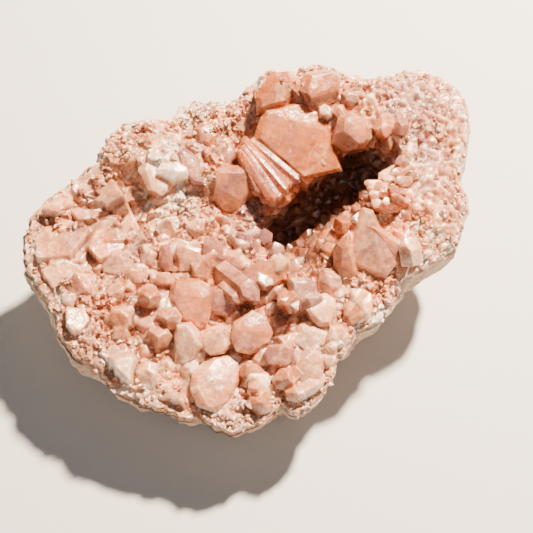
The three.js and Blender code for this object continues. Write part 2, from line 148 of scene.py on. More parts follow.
def facePoint(x, y, sunk=0):
    # the point of the open face over (x, y), or of a surface sunk into the rock
    z = stone["level"] + stone["perX"] * x + stone["perY"] * y - sunk
    for cx, cy, alongX, alongY, turn, lift in stone["swellings"]:
        c, s = math.cos(math.radians(turn)), math.sin(math.radians(turn))
        along, across = (x - cx) * c + (y - cy) * s, (y - cy) * c - (x - cx) * s
        z = z + lift * np.exp(-((along / alongX) ** 2) - (across / alongY) ** 2)
    g = stone["ledge"]
    share, _, side = fromSegment(x, y, g["start"], g["end"])
    ends = smooth(0, 0.12, share) * (1 - smooth(0.9, 1, share))
    z = z + g["lift"] * ends * smooth(-g["run"], g["run"], side) * np.exp(-((side / g["fade"]) ** 2))
    h = stone["hollow"]
    deep = hollowShare(x, y, sunk)
    return np.stack([x + h["lean"][0] * deep, y + h["lean"][1] * deep, z - h["depth"] * deep], -1)


def noiseAt(points, size, seed=0, octaves=3):
    # smooth noise about -1 to 1, with features of a size in mm
    shift = Vector((seed * 13.7, seed * 7.3, seed * 3.1))
    total, strength = np.zeros(len(points)), 1.0
    scaled = points / size
    for _ in range(octaves):
        total += strength * np.array([noise.noise(Vector(p) + shift) for p in scaled])
        scaled, strength = scaled * 2.03, strength * 0.5
    return total


def hashed(i, j, k):
    # a number from 0 to 1 that looks like chance
    v = np.sin(i * 127.1 + j * 311.7 + k * 74.7) * 43758.5453
    return v - np.floor(v)


def facets(x, y, size, tilt, step, seed):
    # broken ground: each cell of a size in mm is a flat face, tilted and stepped by chance
    gx, gy = np.floor(x / size), np.floor(y / size)
    best = np.full(x.shape, np.inf)
    height = np.zeros(x.shape)
    for i in (-1, 0, 1):
        for j in (-1, 0, 1):
            cx, cy = gx + i, gy + j
            px = (cx + hashed(cx, cy, seed)) * size
            py = (cy + hashed(cx, cy, seed + 1)) * size
            distance = np.hypot(x - px, y - py)
            turn = 2 * math.pi * hashed(cx, cy, seed + 2)
            plane = ((x - px) * np.cos(turn) + (y - py) * np.sin(turn)) * tilt
            plane = plane * hashed(cx, cy, seed + 3) + (hashed(cx, cy, seed + 4) - 0.5) * step
            nearer = distance < best
            best = np.where(nearer, distance, best)
            height = np.where(nearer, plane, height)
    return height


def fineRim(perPoint, jag):
    # a smooth closed curve through the rim's points, with a crumbled edge
    rim = np.array(stone["rim"], float)
    a, b, c, d = (np.roll(rim, shift, axis=0) for shift in (1, 0, -1, -2))
    points = []
    for t in np.arange(perPoint) / perPoint:
        soft = 0.5 * (2 * b + (c - a) * t + (2 * a - 5 * b + 4 * c - d) * t ** 2
                      + (3 * b - a - 3 * c + d) * t ** 3)
        straight = b + (c - b) * t
        points.append(0.6 * soft + 0.4 * straight)
    points = np.stack(points, 1).reshape(-1, 2)
    flat = np.column_stack([points, np.zeros(len(points))])
    crumble = np.abs(noiseAt(flat, 5.5, 1, 3)) * 1.6 - 0.6 + 0.5 * noiseAt(flat, 1.8, 2, 2)
    out = points / np.linalg.norm(points, axis=1)[:, None]
    return points + out * (crumble * jag)[:, None]


# where the quartz is milky, orange or mauve, where shade is painted on it, and where grains, crystals
# and broken faces are; each has a starting amount, then patches of x, y, reach and amount
zones = {
    "milk": (0.1, [
        (-22, 27, 8, 0.8), (-5, 41, 8, 0.45), (-23, 19, 7, 0.4), (-38, -44, 13, 0.2),
        (-31, -33, 9, 0.15), (-59, -22, 10, 0.2), (-7, -39, 8, 0.2), (7, -30, 7, 0.2),
        (33, -30, 8, 0.25), (58, 4, 12, 0.08), (-66, 25, 6, 0.1), (17, 35, 8, 0.3),
        (-31, 40, 8, 0.15), (36, -5, 7, 0.3), (-23, -18, 15, -0.2), (18, 2, 14, -0.2),
    ]),
    "warm": (0.45, [
        (22, 26, 15, 0.5), (-36, -28, 13, 0.4), (-22, -22, 12, 0.35), (13, -17, 10, 0.3),
        (-46, 20, 4, 0.5), (-6, 11, 8, 0.45), (-49, 2, 10, 0.2), (37, 13, 9, 0.3), (-32, -6, 9, 0.25),
        (51, -6, 14, -0.2), (-58, 15, 10, 0.35), (20, 4, 12, 0.3),
    ]),
    "mauve": (0.08, [
        (-5, 2, 6, 0.8), (-19, -33, 5, 0.6), (-13, 26, 6, 0.4), (-40, 29, 8, 0.35), (-61, 32, 6, 0.3),
        (-69, 13, 7, 0.35), (60, 7, 10, 0.8), (50, 12, 9, 0.6), (46, -8, 9, 0.5), (-4, -20, 4, 0.5),
        (-34, 7, 5, 0.4), (41, -2, 6, 0.4),
    ]),
    # painted shade: the deep patches darken the hollow's left end and its near wall
    "deep": (0, [(-1, 3, 6, 0.5), (-5, 7, 4, 0.3), (5, -13, 5.5, 0.75), (0, -9, 4, 0.35)]),
    "sugar": (0, [
        (-56, 0, 9, 1), (-46, -10, 6, 0.7), (-64, 11, 8, 0.9), (7, -30, 7, 1), (-23, 19, 7, 1),
        (-36, -42, 8, 0.7), (-58, -20, 7, 0.8), (54, -2, 12, 0.3), (40, -18, 10, 0.45),
        (-20, -46, 6, 0.8), (-1, 35, 7, 0.8), (-9, -7, 4, 0.8), (4, 23, 5, 0.5), (-7, -39, 7, 0.6),
        (32, -26, 7, 0.6),
    ]),
    "basin": (0, [
        (-25, -16, 17, 1.5), (-34, -5, 13, 1.3), (-44, 0, 11, 1), (-23, -35, 13, 1.2),
        (-23, 4, 9, 0.9), (-58, 8, 8, 0.9), (-49, -14, 12, 0.9), (-8, -27, 10, 1), (-51, 5, 8, 0.7),
        (-44, -29, 10, 0.8), (5, -29, 8, 0.6),
    ]),
    "druse": (0, [
        (52, 0, 14, 1.4), (39, -14, 12, 1.4), (42, 0, 9, 1), (38, -26, 9, 0.9), (48, 10, 8, 0.8),
        (30, -8, 8, 1), (60, 12, 9, 0.8),
    ]),
    "broken": (0, [
        (-48, 30, 13, 1.4), (-37, 21, 10, 1), (-64, 24, 9, 1), (-22, 28, 10, 1), (-8, 31, 9, 1),
        (5, 29, 9, 0.8), (25, 29, 12, 1), (-32, 40, 10, 0.8), (-10, -40, 8, 0.7),
        (-63, -6, 8, 0.6), (15, -26, 9, 0.8),
    ]),
}


def zoneField(name, x, y):
    # how much of a zone there is over (x, y)
    base, patches = zones[name]
    total = np.full(np.shape(x), float(base))
    for cx, cy, reach, amount in patches:
        total = total + amount * np.exp(-((x - cx) ** 2 + (y - cy) ** 2) / reach ** 2)
    return np.clip(total, 0, 1)


quartzLook = {
    "pink": "#d68b5d", "orange": "#d2763c", "mauve": "#986669", "milk": "#f5c9a4", "white": "#fff1e4",
    "rust": "#6b3a22", "shade": "#4d2616", "skin": "#9a6248",
    "ior": 1.544, "glow": (1.0, 0.62, 0.45),  # how far red, green and blue light spreads inside
    # sizes of what clouds and stains it, in mm
    "smoke": 9, "wisps": 2.6, "veils": 6, "frost": 1.4, "cracks": 7, "crackBends": 4, "crackSway": 3,
    "stains": 5, "spots": 2.4, "clouds": 5.5, "grains": 0.6,
    # of the relief on grown faces, then on broken ones, in mm
    "etching": 1.6, "growthLines": 0.8, "swells": 3, "etchedGlints": 1.7,
    "sugar": 1.3, "sugarGlints": 0.9, "brokenGlints": 2.2,
}


def noiseField(tree, coords, size, low, high, least, most, distortion=0.0):
    # noise with features of a size in mm, stretched between two values
    made = addNode(tree, "ShaderNodeTexNoise", {
        "Vector": coords, "Scale": 1 / (size * mm), "Detail": 5.0, "Roughness": 0.65,
        "Distortion": distortion})
    return addNode(tree, "ShaderNodeMapRange", {
        "Value": made, "From Min": low, "From Max": high, "To Min": least, "To Max": most})


def quartzColour(tree, coords, milkExtra, frost, clear, grain):
    # iron tints the quartz pink to orange; thin white veils cloud it, later water frosted its skin in
    # patches, and old cracks carry a little rust; returns its colour and how milky it is
    look = quartzLook
    field = {name: addNode(tree, "ShaderNodeAttribute", attribute_name=name).outputs["Fac"]
             for name in ("tint", "milk", "warm", "mauve", "painted_shade", "edge", "facet")}
    warmth = addNode(tree, "ShaderNodeMath", {0: field["tint"], 1: 0.8, 2: -0.4}, operation="MULTIPLY_ADD")
    warmth = addNode(tree, "ShaderNodeMath", {0: warmth, 1: field["warm"]}, operation="ADD", use_clamp=True)
    smoke = noiseField(tree, coords, look["smoke"], 0.45, 0.65, 0.0, 0.7)
    smoke = addNode(tree, "ShaderNodeMath", {0: smoke, 1: field["mauve"]}, operation="ADD", use_clamp=True)
    smoke = addNode(tree, "ShaderNodeMath", {0: smoke, 1: 0.8}, operation="MULTIPLY")
    # veils hang in the less clear crystals; edges, frost and roots whiten too
    wisps = noiseField(tree, coords, look["wisps"], 0.48, 0.7, 0.0, 0.6, 2.5)
    veils = noiseField(tree, coords, look["veils"], 0.5, 0.66, -0.25, 1.1, 1.5)
    veils = addNode(tree, "ShaderNodeMath", {0: wisps, 1: veils}, operation="ADD")
    cloudy = addNode(tree, "ShaderNodeMath", {0: clear, 1: -0.7, 2: 0.55}, operation="MULTIPLY_ADD",
                     use_clamp=True)
    milky = addNode(tree, "ShaderNodeMath", {0: veils, 1: cloudy, 2: field["milk"]},
                    operation="MULTIPLY_ADD")
    milky = addNode(tree, "ShaderNodeMath", {0: field["edge"], 1: 0.15, 2: milky}, operation="MULTIPLY_ADD")
    milky = addNode(tree, "ShaderNodeMath", {0: milky, 1: milkExtra}, operation="ADD")
    frosted = noiseField(tree, coords, look["frost"], 0.5, 0.66, 0.0, 1.0, 0.4)
    milky = addNode(tree, "ShaderNodeMath", {0: frosted, 1: frost, 2: milky}, operation="MULTIPLY_ADD",
                    use_clamp=True)
    white = addNode(tree, "ShaderNodeMapRange", {"Value": milky, "From Min": 0.55, "To Max": 0.85})
    # rust sits in spots and along the cracks, and hardly at all in clear crystals
    bends = addNode(tree, "ShaderNodeTexNoise", {
        "Vector": coords, "Scale": 1 / (look["crackBends"] * mm), "Detail": 3.0})
    bends = addNode(tree, "ShaderNodeVectorMath", {
        0: bends.outputs["Color"], "Scale": look["crackSway"] * mm}, operation="SCALE")
    bent = addNode(tree, "ShaderNodeVectorMath", {0: coords, 1: bends}, operation="ADD")
    cracks = addNode(tree, "ShaderNodeTexVoronoi", {"Vector": bent, "Scale": 1 / (look["cracks"] * mm)},
                     feature="DISTANCE_TO_EDGE")
    cracks = addNode(tree, "ShaderNodeMapRange", {
        "Value": cracks, "From Max": 0.05, "To Min": 0.8, "To Max": 0.0})
    stains = noiseField(tree, coords, look["stains"], 0.45, 0.6, 0.0, 1.0)
    spots = noiseField(tree, coords, look["spots"], 0.6, 0.7, 0.0, 0.4)
    rusty = addNode(tree, "ShaderNodeMath", {0: cracks, 1: stains, 2: spots}, operation="MULTIPLY_ADD",
                    use_clamp=True)
    unclear = addNode(tree, "ShaderNodeMath", {0: clear, 1: -3.0, 2: 1.0}, operation="MULTIPLY_ADD",
                      use_clamp=True)
    rusty = addNode(tree, "ShaderNodeMath", {0: rusty, 1: unclear}, operation="MULTIPLY")
    # the layers in turn: orange, mauve, milk, white, rust, then the painted shade, darkest down in the
    # hollow and in the creases between crystals
    colour = linear(look["pink"])
    for layer, amount in (("orange", warmth), ("mauve", smoke), ("milk", milky), ("white", white),
                          ("rust", rusty), ("shade", field["painted_shade"])):
        colour = addNode(tree, "ShaderNodeMix", {
            "Factor": amount, "A": colour, "B": linear(look[layer])}, data_type="RGBA")
    # no two faces are as bright as each other, nor is one face all through
    clouds = noiseField(tree, coords, look["clouds"], 0.36, 0.62, 0.62, 1.1, 1.0)
    grains = noiseField(tree, coords, look["grains"], 0.35, 0.65, 0.9 - grain, 0.9 + grain)
    bright = addNode(tree, "ShaderNodeMath", {0: field["facet"], 1: 0.26, 2: grains},
                     operation="MULTIPLY_ADD")
    bright = addNode(tree, "ShaderNodeMath", {0: clouds, 1: bright}, operation="MULTIPLY")
    return addNode(tree, "ShaderNodeHueSaturation", {"Color": colour, "Value": bright}), milky


def glints(tree, coords, size, strength, normal):
    # grains of a size in mm, each turned its own way, so they catch the light one by one
    cells = addNode(tree, "ShaderNodeTexVoronoi", {"Vector": coords, "Scale": 1 / (size * mm)})
    centred = addNode(tree, "ShaderNodeVectorMath", {0: cells.outputs["Color"], 1: (0.5, 0.5, 0.5)},
                      operation="SUBTRACT")
    scaled = addNode(tree, "ShaderNodeVectorMath", {0: centred, "Scale": strength}, operation="SCALE")
    turned = addNode(tree, "ShaderNodeVectorMath", {0: normal, 1: scaled}, operation="ADD")
    return addNode(tree, "ShaderNodeVectorMath", {0: turned}, operation="NORMALIZE")


def etchedQuartz():
    # pink amethyst: grown faces etched by later water, so they look frosty over a glowing inside
    material, tree = newMaterial("etchedPinkQuartz")
    look = quartzLook
    coords = addNode(tree, "ShaderNodeTexCoord").outputs["Object"]
    along, clear, upAxis, prism = (
        addNode(tree, "ShaderNodeAttribute", attribute_name=name).outputs["Fac"]
        for name in ("along", "clear", "axisMm", "prism"))
    root = addNode(tree, "ShaderNodeMapRange", {
        "Value": along, "From Min": 0.2, "From Max": 0.9, "To Min": 0.1, "To Max": -0.06})
    frost = addNode(tree, "ShaderNodeMath", {0: clear, 1: -1.5, 2: 0.35}, operation="MULTIPLY_ADD",
                    use_clamp=True)
    colour, milky = quartzColour(tree, coords, root, frost, clear, 0.03)
    flecks = addNode(tree, "ShaderNodeTexNoise", {
        "Vector": coords, "Scale": 1 / (look["etching"] * mm), "Detail": 4.0, "Roughness": 0.65})
    rough = addNode(tree, "ShaderNodeMapRange", {
        "Value": flecks, "From Min": 0.35, "From Max": 0.65, "To Min": 0.2, "To Max": 0.45})
    # growth lines run across the prism faces
    wobble = addNode(tree, "ShaderNodeMath", {0: flecks, 1: 4.0}, operation="MULTIPLY")
    phase = addNode(tree, "ShaderNodeMath", {
        0: upAxis, 1: 2 * math.pi / look["growthLines"], 2: wobble}, operation="MULTIPLY_ADD")
    lines = addNode(tree, "ShaderNodeMath", {0: phase}, operation="SINE")
    lines = addNode(tree, "ShaderNodeMath", {0: lines, 1: prism}, operation="MULTIPLY")
    relief = addNode(tree, "ShaderNodeMath", {0: lines, 1: 0.12, 2: flecks}, operation="MULTIPLY_ADD")
    swells = noiseField(tree, coords, look["swells"], 0.3, 0.7, 0.0, 0.8, 0.8)
    relief = addNode(tree, "ShaderNodeMath", {0: relief, 1: swells}, operation="ADD")
    face = addNode(tree, "ShaderNodeNewGeometry").outputs["Normal"]
    bump = addNode(tree, "ShaderNodeBump", {
        "Height": relief, "Strength": 0.5, "Distance": 0.25 * mm,
        "Normal": glints(tree, coords, look["etchedGlints"], 0.1, face)})
    through = addNode(tree, "ShaderNodeMath", {0: milky, 1: -0.6, 2: clear}, operation="MULTIPLY_ADD",
                      use_clamp=True)
    shader = addNode(tree, "ShaderNodeBsdfPrincipled", subsurface_method="BURLEY", inputs={
        "Base Color": colour, "Roughness": rough, "IOR": look["ior"], "Normal": bump,
        "Subsurface Weight": 0.9, "Subsurface Scale": 1.7 * mm, "Subsurface Radius": look["glow"],
        "Transmission Weight": through, "Coat Weight": 0.8, "Coat Roughness": 0.1, "Coat Normal": bump})
    addNode(tree, "ShaderNodeOutputMaterial", {"Surface": shader})
    return material


def massiveQuartz():
    # quartz grown together and broken through: sugary and whiter, with small faces that glint
    material, tree = newMaterial("brokenMassiveQuartz")
    look = quartzLook
    coords = addNode(tree, "ShaderNodeTexCoord").outputs["Object"]
    colour, _ = quartzColour(tree, coords, 0.0, 0.4, 0.0, 0.1)
    skin = addNode(tree, "ShaderNodeAttribute", attribute_name="skin").outputs["Fac"]
    skinned = addNode(tree, "ShaderNodeMix", {"Factor": skin, "A": colour, "B": linear(look["skin"])},
                      data_type="RGBA")
    flecks = addNode(tree, "ShaderNodeTexNoise", {
        "Vector": coords, "Scale": 1 / (look["sugar"] * mm), "Detail": 5.0, "Roughness": 0.7})
    rough = addNode(tree, "ShaderNodeMapRange", {
        "Value": flecks, "From Min": 0.35, "From Max": 0.65, "To Min": 0.1, "To Max": 0.42})
    face = addNode(tree, "ShaderNodeNewGeometry").outputs["Normal"]
    sugary = glints(tree, coords, look["sugarGlints"], 0.9, face)
    bump = addNode(tree, "ShaderNodeBump", {
        "Height": flecks, "Strength": 0.6, "Distance": 0.35 * mm,
        "Normal": glints(tree, coords, look["brokenGlints"], 0.5, sugary)})
    shader = addNode(tree, "ShaderNodeBsdfPrincipled", subsurface_method="BURLEY", inputs={
        "Base Color": skinned, "Roughness": rough, "IOR": look["ior"], "Normal": bump,
        "Subsurface Weight": 0.6, "Subsurface Scale": 0.8 * mm, "Subsurface Radius": look["glow"],
        "Coat Weight": 0.5, "Coat Roughness": 0.1, "Coat Normal": bump})
    addNode(tree, "ShaderNodeOutputMaterial", {"Surface": shader})
    return material


rindLook = {  # its stains from the least to the most; sizes in mm
    "stains": ((0.3, "#8f7268"), (0.42, "#c3a08a"), (0.52, "#dcc4ad"), (0.6, "#c98f74"), (0.7, "#e6d6c3")),
    "dirt": "#7c6054",
    "stainSize": 14, "gritSize": 1.2, "pitSize": 2.6,
}


def chalkyRind():
    # weathered rhyolite skin: chalky and pitted, cream with salmon and grey-mauve stains
    material, tree = newMaterial("chalkyRhyoliteRind")
    look = rindLook
    coords = addNode(tree, "ShaderNodeTexCoord").outputs["Object"]
    stains = addNode(tree, "ShaderNodeTexNoise", {
        "Vector": coords, "Scale": 1 / (look["stainSize"] * mm), "Detail": 6.0, "Roughness": 0.6})
    ramp = addNode(tree, "ShaderNodeValToRGB", {"Fac": stains})
    for position, colour in look["stains"]:
        ramp.color_ramp.elements.new(position).color = linear(colour)
    for unused in (0, -1):  # the ramp's own two ends
        ramp.color_ramp.elements.remove(ramp.color_ramp.elements[unused])
    grit = addNode(tree, "ShaderNodeTexNoise", {
        "Vector": coords, "Scale": 1 / (look["gritSize"] * mm), "Detail": 5.0, "Roughness": 0.7})
    dirt = addNode(tree, "ShaderNodeMapRange", {
        "Value": grit, "From Min": 0.35, "From Max": 0.6, "To Min": 0.45, "To Max": 0.0})
    dirty = addNode(tree, "ShaderNodeMix", {"Factor": dirt, "A": ramp, "B": linear(look["dirt"])},
                    data_type="RGBA")
    pits = addNode(tree, "ShaderNodeTexVoronoi", {"Vector": coords, "Scale": 1 / (look["pitSize"] * mm)})
    pits = addNode(tree, "ShaderNodeMapRange", {
        "Value": pits, "From Max": 0.35, "To Min": -1.0, "To Max": 0.0})
    relief = addNode(tree, "ShaderNodeMath", {0: grit, 1: pits}, operation="ADD")
    bump = addNode(tree, "ShaderNodeBump", {"Height": relief, "Strength": 0.9, "Distance": 0.7 * mm})
    shader = addNode(tree, "ShaderNodeBsdfPrincipled", {
        "Base Color": dirty, "Roughness": 0.93, "Normal": bump})
    addNode(tree, "ShaderNodeOutputMaterial", {"Surface": shader})
    return material


quartz = etchedQuartz()
massive = massiveQuartz()
rindStone = chalkyRind()
print("materials made")


ground = {
    "columnsPerPoint": 11,
    "rings": 132,  # of the open face
    "underRings": 10,
    "wallRows": 54,
    "jag": 0.8,  # mm, how crumbled the rim is
    # facets of the broken quartz: size in mm, tilt, step between them in mm, seed
    "large": (8, 0.45, 1.8, 1), "middling": (4, 0.6, 1.1, 5), "small": (2, 0.7, 0.6, 9),
}


def closedShell(name, rows, material):
    # rings of the same number of points, from a point in the middle of the top to one underneath
    columns = len(rows[1])
    points = [rows[0][0]] + [p for row in rows[1:-1] for p in row] + [rows[-1][0]]
    last = 1 + (len(rows) - 3) * columns
    faces = []
    for first in range(1, last, columns):
        for c in range(columns):
            a, b = first + c, first + (c + 1) % columns
            faces.append((a, a + columns, b + columns, b))
    for c in range(columns):
        faces.append((0, 1 + c, 1 + (c + 1) % columns))
        faces.append((len(points) - 1, last + (c + 1) % columns, last + c))
    return newObject(name, np.array(points) * mm, faces, material)


def facePlan(rim, share, reach):
    hub = np.array(stone["hub"], float)
    return hub + (rim * reach - hub) * share ** stone["ringSpread"]


def crustDepth(share):
    return stone["crustInside"] + (stone["crustAtRim"] - stone["crustInside"]) * smooth(0.78, 1, share)


def rimDrop(share):
    return stone["rimRoll"] * smooth(0.88, 1, share) ** 2


def quartzGround(rim):
    shares = np.linspace(0, 1, ground["rings"] + 1) ** 0.8
    plan = np.stack([facePlan(rim, s, stone["crustInset"]) for s in shares])
    x, y = plan[..., 0], plan[..., 1]
    share = shares[:, None] * np.ones(len(rim))
    surface = facePoint(x, y)
    surface[..., 2] -= rimDrop(share)
    flat = surface.reshape(-1, 3)
    inside = (1 - hollowShare(x, y)) * smooth(1, 0.93, share)
    broken = zoneField("broken", x, y)
    warp = 1.4 * noiseAt(flat, 4, 3, 2).reshape(x.shape)
    big = facets(x + warp, y - warp, *ground["large"]) * (0.25 + 0.75 * broken)
    big += facets(x - warp, y + warp, *ground["middling"]) * (0.4 + 0.6 * broken)
    small = facets(x + 0.4 * warp, y, *ground["small"]) * (1 - 0.75 * broken)
    rough = noiseAt(flat, 3, 5, 3).reshape(x.shape) * (1 - 0.5 * broken)
    surface[..., 2] += inside * big + (0.25 + 0.75 * inside) * small + 0.35 * rough
    surface[..., 2] += smooth(0.9, 1, share) * 0.8 * noiseAt(flat, 4, 6, 3).reshape(x.shape)
    under = []
    for s in np.linspace(1, 0, ground["underRings"]):
        # at the rim it spreads out a little and settles into the rind
        outer = smooth(0.85, 1, s)
        edge = facePlan(rim, s, stone["crustInset"] + 0.012 * outer)
        row = facePoint(*edge.T, crustDepth(s) - 0.4 + 0.7 * outer)
        row[:, 2] -= stone["rimRoll"]
        under.append(row)
    piece = closedShell("broken_quartz", list(surface) + under, massive)
    mesh = piece.data
    spots = np.array([v.co[:] for v in mesh.vertices]) / mm

    def eachPoint(field, below):
        # the shell's own order: the face's middle and rings, then the whole underside
        face = field.ravel()[len(rim) - 1:]
        return np.concatenate([face, np.full(len(spots) - len(face), below)])

    away = 200.0  # mm, outside every zone
    planX, planY, ring = eachPoint(x, away), eachPoint(y, away), eachPoint(share, 1.0)
    above = eachPoint(np.ones(x.shape), 0.0)
    deep = hollowShare(planX, planY)
    crumbs = smooth(0.84, 0.95, ring) * smooth(1, 0.985, ring)
    fields = {
        "milk": np.clip(zoneField("milk", planX, planY) + 0.25 * smooth(0.9, 0.98, ring), 0, 1),
        "warm": zoneField("warm", planX, planY) * above,
        "mauve": zoneField("mauve", planX, planY) * above,
        # painted shade: the quartz darkens down into the hollow and over the deep patches, and the crystals
        # scattered on this ground carry it too
        "painted_shade": np.maximum(0.8 * smooth(0.12, 0.55, deep), zoneField("deep", planX, planY)) * above,
        "tint": 0.5 + 0.5 * noiseAt(spots, 6, 8, 2),
        "skin": smooth(0.985, 1, ring) * (0.15 + 0.4 * noiseAt(spots, 5, 9, 2)).clip(0, 1),
        # where the scattered crystals grow
        "hollow": smooth(0.02, 0.12, deep),
        "sugar": np.maximum(crumbs, zoneField("sugar", planX, planY)) * above,
    }
    for name, values in fields.items():
        setAttribute(mesh, name, values)
    return piece


def wall(rim, rows):
    # the outer wall, from the rim down to the flat underside
    settled = np.mean([np.roll(rim, i, axis=0) for i in range(-20, 21, 4)], axis=0)
    x, y = rim.T
    top = facePoint(x, y, stone["crustAtRim"])[:, 2] - stone["rimRoll"]
    heading = np.degrees(np.arctan2(y, x))
    made = []
    for down in np.linspace(0, 1, rows):
        plan = rim + (settled - rim) * min(1, 2 * down)
        share = 1 - (1 - stone["foot"]) * down ** stone["fullness"]
        points = np.column_stack([plan * share, top * (1 - down)])
        px, py, pz = points.T
        lumps = (np.sin(0.31 * px + 1.3 * np.sin(0.17 * pz)) * np.sin(0.27 * py + 0.4)
                 + 0.6 * np.sin(0.52 * px - 0.33 * pz + 1) * np.sin(0.47 * py + 0.38 * pz))
        out = stone["wallLumps"] * lumps
        for at, spread, more in stone["wallBulges"]:
            off = (heading - at + 180) % 360 - 180
            out = out + more * np.exp(-((off / spread) ** 2))
        out = out * math.sin(math.pi * down)
        fine = 1.1 * noiseAt(points, 7, 3, 4) - 0.7 * np.abs(noiseAt(points, 3, 4, 2))
        out = out + fine * smooth(0, 0.06, down) * smooth(1, 0.93, down)
        points[:, :2] += plan / np.linalg.norm(plan, axis=1)[:, None] * out[:, None]
        made.append(points)
    return made


def rindBowl(rim):
    rows = []
    for s in np.linspace(0, 1, ground["underRings"]):
        row = facePoint(*facePlan(rim, s, 1).T, crustDepth(s))
        row[:, 2] -= rimDrop(s)
        rows.append(row)
    rows += wall(rim, ground["wallRows"])[1:]
    rows += [rows[-1] * 0.5, np.zeros((1, 3))]
    return closedShell("chalky_rind", rows, rindStone)


rim = fineRim(ground["columnsPerPoint"], ground["jag"])
groundPiece = quartzGround(rim)
rindPiece = rindBowl(rim)
print("ground", len(groundPiece.data.polygons), "rind", len(rindPiece.data.polygons))


def quartzPlanes(radius, tip, root, rng, cut):
    # a six-sided prism and its six-faced end, three faces larger than the others; cut is how
    # much of the end is left where it's worn or broken flat
    apothem = radius * math.cos(math.pi / 6)
    slope = math.radians(38.2)  # the end faces of quartz lean this far from its length
    planes = [(Vector((0, 0, -root)), -up)]
    for i in range(6):
        turn = math.radians(60 * i) + rng.uniform(-0.03, 0.03)
        side = Vector((math.cos(turn), math.sin(turn), 0))
        planes.append((side * apothem * rng.uniform(0.86, 1.08), side))
        top = tip * (rng.uniform(0.9, 1.05) if i % 2 else rng.uniform(1.05, 1.45))
        planes.append((Vector((0, 0, top)), side * math.cos(slope) + up * math.sin(slope)))
    if cut:
        tilt = Vector((rng.uniform(-0.22, 0.22), rng.uniform(-0.22, 0.22), 1)).normalized()
        planes.append((Vector((0, 0, tip * cut)), tilt))
    return planes


def blockPlanes(radius, tip, root, rng):
    # a broken lump of quartz: flat faces at any angle
    planes = [(Vector((0, 0, -root)), -up)]
    for i in range(6):
        turn = 2 * math.pi * (i + rng.uniform(-0.4, 0.4)) / 6
        lift = rng.uniform(-0.1, 0.5)
        out = Vector((math.cos(turn), math.sin(turn), lift)).normalized()
        planes.append((out * radius * rng.uniform(0.65, 1), out))
    for _ in range(3):
        top = Vector((rng.uniform(-0.55, 0.55), rng.uniform(-0.55, 0.55), 1)).normalized()
        planes.append((top * tip * rng.uniform(0.6, 1), top))
    return planes


def cutFrom(planes, reach):
    # a cube with everything outside the planes cut away
    bm = bmesh.new()
    bmesh.ops.create_cube(bm, size=reach)
    for point, normal in planes:
        geometry = bm.verts[:] + bm.edges[:] + bm.faces[:]
        cut = bmesh.ops.bisect_plane(bm, geom=geometry, plane_co=point, plane_no=normal,
                                     clear_outer=True, dist=1e-4)
        edges = [e for e in cut["geom_cut"] if isinstance(e, bmesh.types.BMEdge)]
        if edges:
            bmesh.ops.contextual_create(bm, geom=edges)
    bmesh.ops.remove_doubles(bm, verts=bm.verts[:], dist=1e-3)
    bmesh.ops.dissolve_degenerate(bm, edges=bm.edges[:], dist=1e-3)
    return bm


def facePlanes(outline, depth, chamfer, rng):
    # a crystal seen by its broad face: the face, the chamfers round it and the sides
    planes = [(Vector((0, 0, 0)), up), (Vector((0, 0, -depth)), -up)]
    for (x0, y0), (x1, y1) in zip(outline, outline[1:] + outline[:1]):
        out = Vector((y1 - y0, x0 - x1, 0)).normalized()
        corner, inset = Vector((x0, y0, 0)), rng.uniform(*chamfer)
        tilt = math.radians(rng.uniform(35, 60))
        planes.append((corner, (out - 0.08 * up).normalized()))
        planes.append((corner - out * inset, out * math.sin(tilt) + up * math.cos(tilt)))
    reach = max(math.hypot(*corner) for corner in outline)
    for _ in range(2):  # low growth facets across the broad face
        turn, tilt = rng.uniform(0, 2 * math.pi), math.radians(rng.uniform(6, 12))
        out = Vector((math.cos(turn), math.sin(turn), 0))
        planes.append((out * reach * rng.uniform(0.05, 0.35), out * math.sin(tilt) + up * math.cos(tilt)))
    return planes


def crystalMesh(name, planes, reach, bevel, segments=1):
    # in mm, standing on the origin; carries how far up it each point is, and which faces are prism
    bm = cutFrom(planes, reach)
    rounded = []
    if bevel:
        rounded = bmesh.ops.bevel(bm, geom=bm.edges[:], offset=bevel, offset_type="OFFSET", profile=0.5,
                                  segments=segments, affect="EDGES", clamp_overlap=True)["faces"]
    edge = [False] * len(bm.faces)
    bm.faces.index_update()
    for face in rounded:
        edge[face.index] = True
    bmesh.ops.recalc_face_normals(bm, faces=bm.faces[:])
    mesh = bpy.data.meshes.new(name)
    bm.to_mesh(mesh)
    bm.free()
    heights = np.array([v.co.z for v in mesh.vertices])
    low, high = heights.min(), heights.max()
    setAttribute(mesh, "along", (heights - low) / (high - low))
    setAttribute(mesh, "axisMm", heights)
    setAttribute(mesh, "prism", [float(abs(p.normal.z) < 0.25) for p in mesh.polygons], "FACE")
    setAttribute(mesh, "edge", edge, "FACE")
    setAttribute(mesh, "facet", [hashed(*p.normal) for p in mesh.polygons], "FACE")
    return mesh


